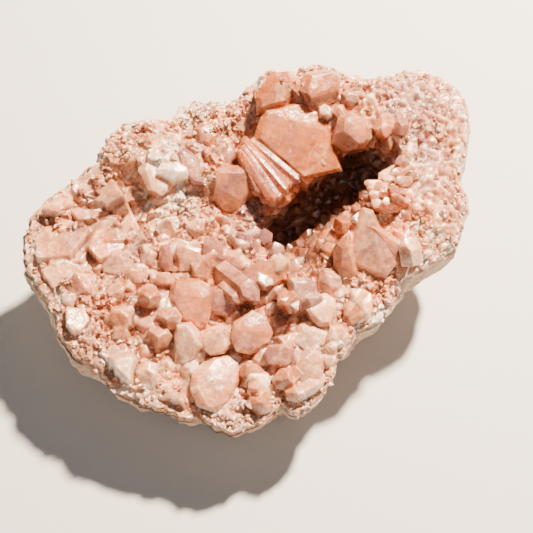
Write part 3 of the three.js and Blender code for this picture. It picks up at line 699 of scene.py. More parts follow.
# crystals grown together, as closed skins over the broken quartz: spans in mm from left to right and
# from near to far; crystals' spacing and radii; how far they stray from upright; how much of the tips
# is left; rise of their shoulders; where they grow; passes of softening; height of the swells; how
# dark the shade painted in the creases is and how patchy the colour is
skins = {
    "front_druse": dict(x=(-68, 16), y=(-48, 18), spacing=4.8, radii=(2.2, 5.6), stray=26, cut=(0.2, 0.75),
                        rise=(-2.2, 0.1), where="basin", soft=1, swell=0, creases=1.0, patches=0.25,
                        seed=31),
    "right_druse": dict(x=(26, 70), y=(-34, 24), spacing=1.5, radii=(0.5, 1.7), stray=45, cut=(0.35, 0.8),
                        rise=(-0.3, 0.3), where="druse", soft=2, swell=1.8, creases=0.7, patches=0.5,
                        seed=32),
    "back_quartz": dict(x=(-70, -33), y=(13, 48), spacing=6.5, radii=(5, 10), stray=13, cut=(0.08, 0.15),
                        rise=(-0.8, 0.0), where="broken", soft=1, swell=0.3, creases=0.8, patches=0.2,
                        seed=33),
}
allSkins = {
    "step": 0.3,  # mm, the grid's
    "start": 9, "border": 3.8, "underside": 4.4,  # mm below the face
    "creaseDepth": 0.3, "frosting": 0.12,  # mm
    "clear": 0.16,
}


def rimShare(x, y):
    # 0 at the hub to 1 at the rim, along the straight line outward
    dx, dy = x - stone["hub"][0], y - stone["hub"][1]
    outward = rim - np.array(stone["hub"])
    heading = np.arctan2(outward[:, 1], outward[:, 0])
    order = np.argsort(heading)
    reach = np.interp(np.arctan2(dy, dx), heading[order], np.hypot(*outward.T)[order], period=2 * math.pi)
    return np.hypot(dx, dy) / reach


def settle(x, y, height, planes, place, turned, reach):
    # raises the height where this crystal's top stands above it; returns where it did
    farOff = 99.0  # mm, past any crystal
    near = (np.abs(x - place.x) < reach) & (np.abs(y - place.y) < reach)
    dx, dy = x[near] - place.x, y[near] - place.y
    world = [(turned @ normal, normal.dot(point)) for point, normal in planes]
    top = np.full(dx.shape, farOff)
    for n, distance in world:
        if n.z > 0.05:
            top = np.minimum(top, (distance - n.x * dx - n.y * dy) / n.z)
    for n, distance in world:
        if n.z <= 0.05:
            top[n.x * dx + n.y * dy + n.z * top > distance] = -farOff
    higher = np.zeros(x.shape, bool)
    higher[near] = top + place.z > height[near]
    height[near] = np.maximum(height[near], top + place.z)
    return higher


def blurred(field, times):
    for _ in range(times):
        for axis in (0, 1):
            field = (np.roll(field, 1, axis) + 2 * field + np.roll(field, -1, axis)) / 4
    return field


def closedSkin(name, x, y, top, floorHeight, keep, material):
    # the kept cells of a grid as a closed slab; returns it and which grid points it uses
    rows, columns = x.shape
    index = np.arange(rows * columns).reshape(rows, columns)
    cells = np.stack([index[:-1, :-1], index[:-1, 1:], index[1:, 1:], index[1:, :-1]], -1)
    kept = keep[:-1, :-1] & keep[:-1, 1:] & keep[1:, 1:] & keep[1:, :-1]
    cells = cells[kept]
    used, packed = np.unique(cells, return_inverse=True)
    cells = packed.reshape(cells.shape)
    count = len(used)
    edges = np.concatenate([cells[:, [i, (i + 1) % 4]] for i in range(4)])
    keys = edges[:, 0] * count + edges[:, 1]
    border = edges[~np.isin(keys, edges[:, 1] * count + edges[:, 0])]
    sides = np.stack([border[:, 0], border[:, 0] + count, border[:, 1] + count, border[:, 1]], -1)
    faces = np.concatenate([cells, cells[:, ::-1] + count, sides]).tolist()
    flat = [field.ravel()[used] for field in (x, y, top, floorHeight)]
    points = np.concatenate([np.column_stack(flat[:3]), np.column_stack([flat[0], flat[1], flat[3]])])
    return newObject(name, points * mm, faces, material), used


def druseSkin(name, g):
    rng = random.Random(g["seed"])
    x, y = np.meshgrid(*(np.arange(*g[axis], allSkins["step"]) for axis in "xy"))
    share = rimShare(x, y)
    base = facePoint(x, y)[..., 2] - rimDrop(np.clip(share, 0, 1) ** 0.8)
    height, tint = base - allSkins["start"], np.zeros(x.shape)
    for gy in np.arange(*g["y"], g["spacing"]):
        for gx in np.arange(*g["x"], g["spacing"]):
            px, py = gx + rng.uniform(0, g["spacing"]), gy + rng.uniform(0, g["spacing"])
            radius = g["radii"][0] + (g["radii"][1] - g["radii"][0]) * rng.random() ** 1.7
            planes = quartzPlanes(radius, radius * rng.uniform(0.9, 1.3), 8, rng, rng.uniform(*g["cut"]))
            tilt, turn = math.radians(g["stray"]) * math.sqrt(rng.random()), rng.uniform(0, 2 * math.pi)
            turned = (Matrix.Rotation(turn, 3, "Z") @ Matrix.Rotation(tilt, 3, "Y")
                      @ Matrix.Rotation(rng.uniform(0, 6.28), 3, "Z"))
            level = facePoint(np.array(px), np.array(py))[2]
            place = Vector((px, py, level + rng.uniform(*g["rise"])))
            own = rng.random()
            if rimShare(px, py) < 0.97:
                tint[settle(x, y, height, planes, place, turned, 3 * radius + 2)] = own
    # it ends short of the rim, of the hollow, of its zone's edge and of its spans
    inside = smooth(0.975, 0.95, share) * smooth(0.03, 0.005, hollowShare(x, y))
    inside = inside * smooth(0.12, 0.3, zoneField(g["where"], x, y))
    for span, at in (("x", x), ("y", y)):
        inside = inside * smooth(0, 2, at - g[span][0]) * smooth(0, 2, g[span][1] - at)
    flat = np.stack([x, y, base], -1).reshape(-1, 3)
    height = blurred(np.maximum(height, base - 1), g["soft"])
    height += allSkins["frosting"] * noiseAt(flat, 1.7, g["seed"], 2).reshape(x.shape)
    if g["swell"]:
        height += g["swell"] * noiseAt(flat, 7, g["seed"] + 1, 2).reshape(x.shape)
    bottom = base - allSkins["border"]
    height = bottom + (height - bottom) * inside
    creases = (blurred(height, 4) - height) / allSkins["creaseDepth"]
    piece, used = closedSkin(name, x, y, height, base - allSkins["underside"], inside > 0.2, quartz)
    fields = {
        "milk": (zoneField("milk", x, y) + 0.25 * (tint * 7 % 1 - 0.45) + 0.25 * smooth(0.9, 0.98, share)
                 + g["patches"] * noiseAt(flat, 6, g["seed"] + 2, 3).reshape(x.shape)),
        "warm": zoneField("warm", x, y) + 0.2 * (tint * 3 % 1 - 0.5),
        "mauve": (zoneField("mauve", x, y)
                  + g["patches"] * noiseAt(flat, 8, g["seed"] + 3, 2).reshape(x.shape)),
        "tint": tint, "facet": tint * 5 % 1,
        # painted shade: darker in the creases between crystals and over the deep patches
        "painted_shade": g["creases"] * np.clip(creases - 0.15, 0, 1) + zoneField("deep", x, y),
        "clear": np.full(x.shape, allSkins["clear"]),
        "edge": np.clip(-creases, 0, 1),
    }
    for field, values in fields.items():
        values = np.clip(values, 0, 1).ravel()[used]
        setAttribute(piece.data, field, np.concatenate([values, values]))
    print(name, len(piece.data.polygons), "faces")
    return piece


skinPieces = [druseSkin(name, g) for name, g in skins.items()]


def crystalKinds(name, count, seed, broken):
    # unit crystals, radius 1 mm, that Geometry Nodes scatters and scales
    rng = random.Random(seed)
    kinds = bpy.data.collections.new(name)
    for i in range(count):
        if broken:
            planes = blockPlanes(1.15, rng.uniform(0.12, 0.3), 1.2, rng)
        else:
            planes = quartzPlanes(1, rng.uniform(0.9, 1.4), 1.6, rng, rng.choice((0, 0, 0.6)))
        mesh = crystalMesh(f"{name}{i}", planes, 8, 0 if broken else 0.06)
        mesh.transform(Matrix.Scale(mm, 4))
        kinds.objects.link(bpy.data.objects.new(f"{name}{i}", mesh))
    return kinds


def scatterTree(name, kinds, material):
    # crystals on a surface, closer together where its density attribute is high
    tree = bpy.data.node_groups.new(name, "GeometryNodeTree")
    sockets = {"Geometry": "Geometry", "Where": "String", "Spacing": "Float", "Smallest": "Float",
               "Largest": "Float", "Scatter": "Float", "Lean": "Vector", "Seed": "Int"}
    for label, kind in sockets.items():
        tree.interface.new_socket(label, in_out="INPUT", socket_type="NodeSocket" + kind)
    tree.interface.new_socket("Geometry", in_out="OUTPUT", socket_type="NodeSocketGeometry")
    given = addNode(tree, "NodeGroupInput").outputs
    where = addNode(tree, "GeometryNodeInputNamedAttribute", {"Name": given["Where"]}, data_type="FLOAT")
    area = addNode(tree, "ShaderNodeMath", {0: given["Spacing"], 1: given["Spacing"]},
                   operation="MULTIPLY")
    most = addNode(tree, "ShaderNodeMath", {0: 4.0, 1: area}, operation="DIVIDE")
    points = addNode(tree, "GeometryNodeDistributePointsOnFaces", {
        "Mesh": given["Geometry"], "Distance Min": given["Spacing"], "Density Max": most,
        "Density Factor": where.outputs["Attribute"], "Seed": given["Seed"]},
        distribute_method="POISSON")
    normal = points.outputs["Normal"]
    # each points along the surface's normal, leaning and straying by chance, and turns about itself
    stray = addNode(tree, "FunctionNodeRandomValue", {
        "Min": (-1, -1, -1), "Max": (1, 1, 1), "Seed": 11}, data_type="FLOAT_VECTOR")
    strayed = addNode(tree, "ShaderNodeVectorMath", {0: stray, "Scale": given["Scatter"]},
                      operation="SCALE")
    leaning = addNode(tree, "ShaderNodeVectorMath", {0: normal, 1: given["Lean"]}, operation="ADD")
    direction = addNode(tree, "ShaderNodeVectorMath", {0: leaning, 1: strayed}, operation="ADD")
    aimed = addNode(tree, "FunctionNodeAlignRotationToVector", {"Vector": direction}, axis="Z")
    spin = addNode(tree, "FunctionNodeRandomValue", {"Max": 2 * math.pi, "Seed": 12}, data_type="FLOAT")
    turn = addNode(tree, "ShaderNodeCombineXYZ", {"Z": spin})
    turned = addNode(tree, "FunctionNodeRotateRotation", {"Rotation": aimed, "Rotate By": turn},
                     rotation_space="LOCAL")
    size = addNode(tree, "FunctionNodeRandomValue", {
        "Min": given["Smallest"], "Max": given["Largest"], "Seed": 13}, data_type="FLOAT")
    depth = addNode(tree, "FunctionNodeRandomValue", {"Min": -1.0 * mm, "Max": 0.6 * mm, "Seed": 15},
                    data_type="FLOAT")
    sunk = addNode(tree, "ShaderNodeVectorMath", {0: normal, "Scale": depth}, operation="SCALE")
    moved = addNode(tree, "GeometryNodeSetPosition", {
        "Geometry": points.outputs["Points"], "Offset": sunk})
    source = addNode(tree, "GeometryNodeCollectionInfo", {
        "Collection": kinds, "Separate Children": True, "Reset Children": True})
    grown = addNode(tree, "GeometryNodeInstanceOnPoints", {
        "Points": moved, "Instance": source, "Pick Instance": True, "Rotation": turned, "Scale": size})
    tint = addNode(tree, "FunctionNodeRandomValue", {"Seed": 14}, data_type="FLOAT")
    tinted = addNode(tree, "GeometryNodeStoreNamedAttribute", {
        "Geometry": grown, "Name": "tint", "Value": tint}, data_type="FLOAT", domain="INSTANCE")
    real = addNode(tree, "GeometryNodeRealizeInstances", {"Geometry": tinted})
    painted = addNode(tree, "GeometryNodeSetMaterial", {"Geometry": real, "Material": material})
    addNode(tree, "NodeGroupOutput", {"Geometry": painted})
    return tree


def scatter(name, tree, values):
    # the tree on a copy of the ground, turned into a plain mesh
    holder = bpy.data.objects.new(name + "_holder", groundPiece.data.copy())
    bpy.context.collection.objects.link(holder)
    modifier = holder.modifiers.new("growth", "NODES")
    modifier.node_group = tree
    names = {item.name: item.identifier for item in tree.interface.items_tree if item.in_out == "INPUT"}
    for label, value in values.items():
        modifier[names[label]] = value
    bpy.context.view_layer.update()
    mesh = bpy.data.meshes.new_from_object(holder.evaluated_get(bpy.context.evaluated_depsgraph_get()))
    bpy.data.objects.remove(holder)
    mesh.name = name
    piece = bpy.data.objects.new(name, mesh)
    bpy.context.collection.objects.link(piece)
    print(name, len(mesh.polygons), "faces")
    return piece


# spacing and sizes in mm; scatter is how far crystals stray from square to the ground; kinds is how
# many shapes there are, which are broken lumps or pointed crystals
growths = {
    "hollow_crystals": dict(where="hollow", spacing=2.7, smallest=1.5, largest=3.2, scatter=0.7,
                            lean=(0, 0, 0.3), seed=5, kinds=9, kindSeed=21, broken=False),
    "rim_sugar": dict(where="sugar", spacing=0.85, smallest=0.35, largest=0.85, scatter=0.9,
                      lean=(0, 0, 0), seed=11, kinds=9, kindSeed=22, broken=True),
}
scattered = []
for pieceName, g in growths.items():
    kinds = crystalKinds(pieceName + "_kind", g["kinds"], g["kindSeed"], g["broken"])
    tree = scatterTree(pieceName + "_growth", kinds, massive if g["broken"] else quartz)
    scattered.append(scatter(pieceName, tree, {
        "Where": g["where"], "Spacing": g["spacing"] * mm, "Smallest": g["smallest"],
        "Largest": g["largest"], "Scatter": g["scatter"], "Lean": g["lean"], "Seed": g["seed"]}))


tints = {  # of the crystals placed one by one: tint, milk, warm, mauve, clear
    "great": (0.7, 0.0, 1.0, 0.0, 0.28), "rib": (0.6, 0.0, 1.0, 0.2, 0.5),
    "peach": (0.5, 0.05, 0.6, 0.0, 0.3), "orange": (0.6, 0.0, 0.85, 0.0, 0.35),
    "pink": (0.3, 0.15, 0.4, 0.1, 0.25), "mauve": (0.4, 0.02, 0.5, 0.5, 0.35),
    "white": (0.4, 0.5, 0.4, 0.05, 0.2), "lilac": (0.2, 0.15, 0.2, 0.6, 0.4),
    # of these two, the second whitens faces turned to catch the key light, as a painted highlight
    "beige": (0.6, 0.32, 0.8, 0.0, 0.2), "painted_glint": (0.3, 0.75, 0.3, 0.05, 0.3),
    # a deeper mauve as painted shade, for crystals at the hollow's left end
    "mauve_in_painted_shade": (0.3, 0.0, 0.2, 0.95, 0.4),
}
# x, y, z of the shoulder in mm; heading and climb of its length; radius, tip, root; tint;
# share of the tip left, where it's worn; turn about its length, where it isn't left to chance
placed = [
    # the ribs beside the great crystal, over the hollow
    (10, 8.5, 42.5, -72, -8, 1.7, 3.4, 16, "rib", 0, 57),
    (7.5, 8, 42, -77, -10, 1.4, 2.8, 18, "rib", 0, 22),
    (5.5, 7, 42.5, -81, -9, 1.8, 3.6, 17, "rib", 0, 47),
    (3, 6, 42, -85, -12, 1.5, 3.0, 17, "rib", 0, 5),
    (1, 6, 42, -88, -10, 1.7, 3.4, 15, "rib", 0, 30),
    (0, 7.5, 41.5, -92, -12, 1.6, 3.2, 14, "rib", 0, 41),
    (-0.5, 10.5, 42, -97, -14, 1.8, 3.6, 12, "rib", 0, 59),
    # right end of the ridge
    (28, 19.5, 48, -95, 40, 2.6, 2.8, 4, "white", 0, None),
    (32, 18, 47.5, -95, 40, 2.4, 2.8, 4, "pink", 0, None),
    (41, 7.5, 45, -118, 14, 3.6, 4, 8, "peach", 0, None),
    (41.5, 4.5, 42, -125, 10, 3, 3.4, 8, "peach", 0, None),
    (44.5, 5, 46, -130, 18, 3, 3.2, 7, "mauve", 0, None),
    (37.5, 8, 41, -120, 5, 2.6, 3, 8, "orange", 0, None),
    # teeth on the right wall of the hollow
    (27.5, -5.5, 43.5, 165, 20, 1.3, 2.0, 6, "white", 0, None),
    (27.5, -7, 43, 172, 30, 1.5, 2.2, 6, "pink", 0, None),
    (25.5, -8, 41.5, 160, 25, 1.3, 2.0, 6, "lilac", 0, None),
    (27, -9.5, 43, 168, 35, 1.8, 2.7, 6, "white", 0, None),
    (29.5, -8, 44, 175, 35, 1.6, 2.4, 6, "pink", 0, None),
    (29.5, -10.5, 44, 178, 42, 1.9, 2.8, 6, "peach", 0, None),
    (26, -12, 42.5, 160, 40, 1.7, 2.5, 6, "white", 0, None),
    (28, -13.5, 43.5, 165, 48, 1.8, 2.7, 6, "pink", 0, None),
    (25, -10.5, 41, 150, 35, 1.4, 2.1, 6, "lilac", 0, None),
    (32.5, -7.5, 44.5, -175, 35, 1.7, 2.5, 6, "white", 0, None),
    (35.5, -6.5, 44.5, -165, 32, 1.8, 2.7, 6, "pink", 0, None),
    (31.5, -11, 45, -178, 48, 1.7, 2.5, 6, "peach", 0, None),
    (32.5, -5, 43, -165, 22, 1.5, 2.2, 6, "white", 0, None),
    (34.5, -10, 45.5, -170, 45, 1.7, 2.5, 6, "pink", 0, None),
    (39, -4.5, 45, -150, 28, 1.8, 2.7, 6, "lilac", 0, None),
    (42, -3, 45.5, -140, 28, 1.7, 2.5, 6, "white", 0, None),
    (24, -8.5, 40, 150, 25, 1.2, 1.8, 6, "pink", 0, None),
    (30.5, -14, 45, 170, 55, 1.6, 2.4, 6, "peach", 0, None),
    # near wall of the hollow
    (16.5, -10, 36, 122, 35, 3.2, 3.8, 8, "orange", 0, None),
    (9.5, -14, 33.5, 140, 28, 2.9, 3.4, 8, "orange", 0, None),
    (7, -21, 33, 130, 50, 3.2, 3.2, 6, "peach", 0, None),
    (27, -26, 41, 75, 45, 4, 3.2, 6, "white", 0.5, None),
    # the front basin
    (-17.5, -13.5, 33, -78, 16, 4.6, 5.4, 11, "mauve", 0, 0),
    (-9.5, -23, 35, -140, 50, 3.6, 4.6, 8, "peach", 0, 30),
    (-3.5, -25.5, 34.5, -20, 45, 3, 3.6, 6, "lilac", 0, None),
    (-5.5, -12, 36, -60, 60, 3.4, 3.4, 6, "white", 0, None),
    # these three deepened to mauve as painted shade at the hollow's left end
    (-5.5, 4.5, 33, 110, 50, 3.4, 4, 7, "mauve_in_painted_shade", 0, None),
    (-10.5, 1, 35, 130, 55, 3, 3.4, 6, "mauve_in_painted_shade", 0, None),
    (-3.5, -6, 33, 80, 60, 3, 3.2, 6, "mauve_in_painted_shade", 0, None),
    (-29, -38, 28, -100, 66, 2.8, 3.2, 5, "peach", 0, None),
    (-21, -40, 29, -90, 70, 3.2, 3.8, 5, "peach", 0, None),
    (-20.5, -44, 28, -80, 66, 2.8, 3, 4, "pink", 0, None),
    (-17, -40.5, 29, -70, 66, 3.2, 3.2, 5, "beige", 0, None),
    (-29.5, -42, 27.5, -100, 66, 3.8, 3, 4, "peach", 0, None),
    # the front left
    (-42, -2, 34.5, -120, 60, 3.8, 3.6, 6, "peach", 0, None),
    (-40.5, -9.5, 32.5, -120, 60, 4, 3.8, 7, "peach", 0, None),
    (-45, -12.5, 31.5, -120, 62, 3.8, 3.4, 6, "pink", 0, None),
]
# x, y, z of the broad face's middle; heading and climb it looks along; depth; least and most
# chamfer; tint; the face's outline, to the right and up as it is looked at
broadFaced = [
    # the great crystal over the hollow
    (19, 16.5, 45.5, -105, 58, 12, 0.5, 2.2, "great",
     [(-4, -12), (9.5, -12), (9, -4), (8, 4.5), (2, 10.5), (-9.5, 11), (-15, 2.5)]),
    (33, 10, 48, -85, 64, 10, 1.4, 4.5, "peach",
     [(-5.5, -4), (-0.5, -6), (5, -4), (7.5, 1.5), (4, 6), (-2.5, 6), (-7.5, 0.5)]),
    (-7, 13, 41.5, -112, 56, 9, 1, 4, "orange",
     [(1, -9.5), (6, -4), (7.5, 1.5), (5, 7), (-1.5, 8), (-6.5, 5), (-7.5, -1.5), (-4, -6.5)]),
    (36, 19, 50.5, -110, 60, 5, 0.6, 1.8, "lilac",
     [(-3, -1.5), (0, -3), (3, -1.5), (3, 1.5), (0, 3), (-3, 1.5)]),
    # the large pair on the near side of the hollow
    (17, -21, 41.5, -130, 56, 12, 0.6, 2.4, "pink",
     [(-1, -9), (6, -10), (9, -4), (0, 9.5), (-3, 10), (-5.5, 6), (-6, -2)]),
    (9.5, -22.5, 38.5, -125, 50, 10, 0.8, 2.6, "peach",
     [(-4, -2), (0, -7), (5.5, -6), (3.5, 0.5), (0, 10), (-4.5, 4)]),
    (22.5, -25, 41, -100, 58, 11, 0.6, 2.4, "pink",
     [(-1.5, -4.5), (2, -10), (6, -5.5), (3, 1.5), (-2.5, 8), (-7, 10)]),
    # the front basin
    (-32.5, -8, 33.5, -105, 64, 9, 0.8, 2.3, "peach",
     [(-5.5, -1), (-4, -5.5), (-0.5, -8), (3.5, -7.5), (6, -3), (6.5, 2.5), (3.5, 6), (-0.5, 7),
      (-4, 6), (-5.5, 3)]),
    (-24.5, -12, 32.5, -120, 62, 8, 0.6, 2.0, "mauve",
     [(-4.5, -2), (-2.5, -4), (2, -5), (5, -2), (5, 2.5), (1.5, 5), (-2.5, 4), (-4, 1)]),
    (-11, -13, 36, -105, 60, 8, 0.7, 2.2, "peach",
     [(-4.5, -3), (0, -5), (5.5, -3.5), (6.5, 1), (3.5, 4), (-3.5, 4), (-7, 2)]),
    (-4.5, -22, 37, -100, 58, 8, 0.5, 1.7, "lilac",
     [(-3.5, -5.5), (0, -6), (4, -3), (4.5, 2), (2.5, 2.5), (0, 5), (-3, 5), (-4, 0)]),
    (-2.5, -29.5, 34.5, -80, 66, 8, 0.6, 1.7, "white",
     [(-3.5, -3), (-1, -5), (3, -3.5), (5.5, 0), (4, 3.5), (-0.5, 5), (-3.5, 3.5), (-4, 0)]),
    (-22.5, -25, 32.5, -95, 66, 9, 0.6, 1.6, "peach",
     [(-6, -3), (-2.5, -5.5), (3, -5), (6, -2), (6, 3), (3, 6), (-3.5, 5), (-6, 1)]),
    (-31.5, -21.5, 32, -90, 68, 8, 0.3, 1.2, "beige",
     [(-3.5, -3.5), (0, -4.5), (4.5, -3), (5.5, 1), (3.5, 3.5), (-0.5, 4), (-4, 3), (-5, -0.5)]),
    (-37, -31.5, 29, -70, 68, 9, 0.8, 2.6, "beige",
     [(-6.5, -5.5), (-1.5, -7.5), (5, -6), (8.5, -2), (8, 3), (3.5, 6.5), (-2.5, 7), (-6.5, 4),
      (-8.5, -0.5)]),
    (-13, -40.5, 31, -70, 68, 6, 0.5, 1.7, "beige",
     [(-1.5, -5.5), (3.5, -3), (5.5, 1), (3.5, 4), (-1, 4), (-4.5, 2), (-5.5, -2.5)]),
    (-19.5, -34, 31.5, -120, 62, 7, 0.5, 1.6, "mauve",
     [(-3.5, -2.5), (0, -3.5), (4, -2), (5, 1.5), (2, 3.5), (-2.5, 3), (-4.5, 0)]),
    (-40.5, -19.5, 31, -135, 50, 8, 0.5, 1.4, "white",
     [(-2.5, -5.5), (0, -8), (1.5, -5), (3.5, -2), (4.5, 1.5), (1.5, 5), (-1, 7), (-4, 6), (-4, 1.5)]),
    (-27.5, 3, 36.5, -120, 60, 6, 0.4, 1.4, "beige",
     [(-2.5, -4), (1, -4), (4, -1.5), (4, 2.5), (1, 3.5), (-3, 3.5), (-4, 0.5)]),
    (-24.5, -1, 35, -110, 60, 6, 0.4, 1.2, "beige",
     [(-1, -3), (1.5, -2), (2, 1.5), (0, 3), (-2.5, 0.5)]),
    (-20, 1, 37, -110, 60, 6, 0.4, 1.4, "mauve",
     [(-0.5, -4), (2.5, -3), (3, 1), (1, 4), (-2.5, 3), (-3.5, -1)]),
    # deepened to mauve as painted shade, like the crystals beside it
    (-4, -0.5, 33.5, -100, 58, 6, 0.4, 1.2, "mauve_in_painted_shade",
     [(-1, -2.5), (1.5, -2.5), (2.5, 0), (0.5, 2.5), (-1.5, 2.5), (-2.5, 0)]),
    (-27.5, -34, 29, -100, 62, 6, 0.4, 1.3, "peach",
     [(-2, -3), (2, -3), (3.5, 0), (1.5, 2.5), (-2, 3), (-3.5, 0.5)]),
    (-8.5, -34, 31.5, -110, 64, 5, 0.5, 1.4, "white",
     [(-2, -3.5), (3.5, -2.5), (5, 0.5), (1, 3), (-3, 3), (-5.5, -0.5)]),
    (-2.5, -37.5, 32, -100, 60, 5, 0.4, 1.3, "beige",
     [(-2.5, -3), (1, -3), (3.5, -0.5), (2.5, 3), (-1, 3.5), (-3.5, -0.5)]),
    (5, -34, 33.5, -100, 60, 5, 0.4, 1.6, "peach",
     [(-2.5, -3.5), (1, -3), (4, 0.5), (2.5, 4), (-2, 3), (-3.5, -1)]),
    # the front left
    (-46, 19.5, 35.5, -130, 64, 4, 0.6, 1.6, "orange",
     [(-3, -2), (-0.5, -2.5), (3.5, -1), (4.5, 1), (1.5, 2.5), (-2.5, 2), (-4, 0)]),
    (-33, 5.5, 37, -125, 60, 6, 0.5, 1.6, "mauve",
     [(0, -4), (2.5, -3.5), (2, 0.5), (0.5, 4), (-2, 3.5), (-2.5, -1)]),
    (-36.5, 0.5, 35, -125, 62, 6, 0.6, 2, "pink",
     [(-1.5, -2.5), (2, -2.5), (3.5, 0), (1.5, 2.5), (-1.5, 2.5), (-3.5, 0)]),
    (-43, 5.5, 35.5, -130, 62, 6, 0.6, 2, "pink",
     [(-2, -3), (1.5, -3), (3, 0), (2, 2.5), (-1.5, 3), (-3, 0.5)]),
    # the white boss and the broken quartz round it
    (-24, 27.5, 45.5, -75, 74, 7, 0.8, 2.4, "white",
     [(-3, -6.5), (1, -6.5), (4, -1), (4.5, 5.5), (1, 7), (-3, 4), (-5, -2.5)]),
    # a face turned to catch the key light, whitened as a painted highlight
    (-18.5, 25, 47, -40, 76, 7, 0.8, 2.4, "painted_glint",
     [(-3.5, -0.5), (-1, -5), (2.5, -4.5), (3.5, 0.5), (1, 4.5), (-3, 5)]),
    (-24, 22, 40.5, -105, 66, 7, 0.8, 2.4, "white",
     [(-4, -2.5), (0, -3.5), (4.5, -1), (5.5, 3.5), (-0.5, 3.5), (-5.5, 0)]),
    (-27, 34.5, 46.5, -120, 74, 5, 1, 3, "pink",
     [(-1.5, -4.5), (3, -3), (4.5, 1.5), (1.5, 4.5), (-3, 3), (-4.5, -2)]),
    (-14, 24, 45.5, -70, 66, 5, 0.5, 1.8, "mauve",
     [(-1, -6.5), (1, -4), (4, 1), (3, 5.5), (-0.5, 5.5), (-3, 1.5), (-3.5, -4)]),
    (-5, 31.5, 46, -100, 70, 5, 0.6, 2.2, "peach",
     [(-0.5, -4.5), (3.5, -2.5), (4.5, 2), (0.5, 4.5), (-3.5, 3), (-4.5, -2.5)]),
    (-3, 24, 44, -80, 68, 5, 0.6, 2.2, "mauve",
     [(-1, -4.5), (3, -3), (4, 1), (1, 4.5), (-3, 3), (-4, -1.5)]),
    # faces of the ridge above the great crystal
    (18, 29.5, 53.5, -100, 60, 8, 1, 3.4, "orange",
     [(1, -5.5), (7.5, -2), (6.5, 5), (0, 6), (-6.5, 1.5), (-8, -5)]),
    (30, 25, 54, -85, 62, 8, 1, 3.4, "orange",
     [(2.5, -6.5), (7.5, -0.5), (4.5, 4), (-1.5, 6), (-6.5, 2), (-6.5, -5)]),
    # small faces turned to catch the key light, whitened as a painted highlight
    (-11.5, -13.5, 36, -40, 78, 3, 0.2, 0.5, "painted_glint",
     [(-1, -2.5), (1.5, -2), (2.5, 0.5), (1, 2.5), (-1.5, 2), (-2.5, -0.5)]),
    (-9, -24, 37.5, -40, 78, 4, 0.2, 0.5, "painted_glint",
     [(1, -2), (1.5, 0.5), (-0.5, 3.5), (-2.5, -2)]),
    (19, -14, 44.5, -44, 76, 3, 0.2, 0.5, "painted_glint",
     [(-0.5, -2.5), (2, -1.5), (1.5, 1), (-1, 2.5), (-2.5, 0.5)]),
    (-7, -20.5, 33.5, -36, 78, 3, 0.2, 0.5, "painted_glint",
     [(-0.5, -1.5), (1.5, -0.5), (0.5, 1.5), (-1.5, 0.5)]),
]
largeOnes = {
    "bevel": 0.07,  # of a prism's radius
    "faceBevel": 0.35,  # mm, on the broad-faced ones
    "companions": 1, "companionFrom": 3,  # beside each prism of more than this radius in mm
    "cube": 90,  # mm, what a crystal is cut from
    "seed": 40,
}


def joinCrystals(name, made, rng):
    # made holds pairs of a crystal's mesh and its tint
    pointNames = ("along", "axisMm", "tint", "milk", "warm", "mauve", "clear")
    faceNames = ("prism", "edge", "facet")
    points, faces, fields = [], [], {field: [] for field in pointNames + faceNames}
    for mesh, tint in made:
        first, count = len(points), len(mesh.vertices)
        points += [v.co * mm for v in mesh.vertices]
        faces += [[first + i for i in p.vertices] for p in mesh.polygons]
        for field in pointNames[:2] + faceNames:
            fields[field] += [item.value for item in mesh.attributes[field].data]
        for field, value in zip(pointNames[2:], tints[tint]):
            fields[field] += [value + rng.uniform(-0.05, 0.05)] * count
        bpy.data.meshes.remove(mesh)
    piece = newObject(name, points, faces, quartz)
    for field, values in fields.items():
        setAttribute(piece.data, field, values, "FACE" if field in faceNames else "POINT")
    print(name, len(made), "crystals with", len(faces), "faces")
    return piece


def prismCrystals():
    # a smaller companion grows in step with each of the thicker ones
    rng = random.Random(largeOnes["seed"])
    made = []
    for x, y, z, heading, climb, radius, tip, root, tint, cut, spin in placed:
        turn = math.radians(spin) if spin is not None else rng.uniform(0, math.pi)
        lean = Euler((0, math.radians(90 - climb), math.radians(heading))).to_matrix().to_4x4()
        base = Matrix.Translation((x, y, z)) @ lean
        members = [(Matrix(), 1)]
        for _ in range(largeOnes["companions"] if radius > largeOnes["companionFrom"] else 0):
            around, width = rng.uniform(0, 2 * math.pi), rng.uniform(0.45, 0.7)
            off = Vector((math.cos(around), math.sin(around), 0)) * radius * rng.uniform(0.45, 0.75)
            off.z = -radius * rng.uniform(0, 0.5)
            stray = Euler((rng.uniform(-0.15, 0.15), rng.uniform(-0.15, 0.15), 0)).to_matrix().to_4x4()
            members.append((Matrix.Translation(off) @ stray, width))
        for step, width in members:
            planes = quartzPlanes(radius * width, tip * width, root * width, rng, cut)
            mesh = crystalMesh("part", planes, largeOnes["cube"], largeOnes["bevel"] * radius * width, 2)
            mesh.transform(base @ step @ Matrix.Rotation(turn, 4, "Z"))
            made.append((mesh, tint))
    return joinCrystals("large_crystals", made, rng)


def broadFacedCrystals():
    # each stands behind its face, square to where the face looks
    rng = random.Random(largeOnes["seed"] + 1)
    made = []
    for x, y, z, heading, climb, depth, least, most, tint, outline in broadFaced:
        planes = facePlanes(outline, depth, (least, most), rng)
        mesh = crystalMesh("part", planes, largeOnes["cube"], largeOnes["faceBevel"], 3)
        ahead = Vector((math.cos(math.radians(heading)), math.sin(math.radians(heading)), 0))
        ahead = ahead * math.cos(math.radians(climb)) + up * math.sin(math.radians(climb))
        across = up.cross(ahead).normalized()
        turned = Matrix((across, ahead.cross(across), ahead)).transposed().to_4x4()
        mesh.transform(Matrix.Translation((x, y, z)) @ turned)
        made.append((mesh, tint))
    return joinCrystals("broad_faced_crystals", made, rng)


prismPiece = prismCrystals()
broadPiece = broadFacedCrystals()


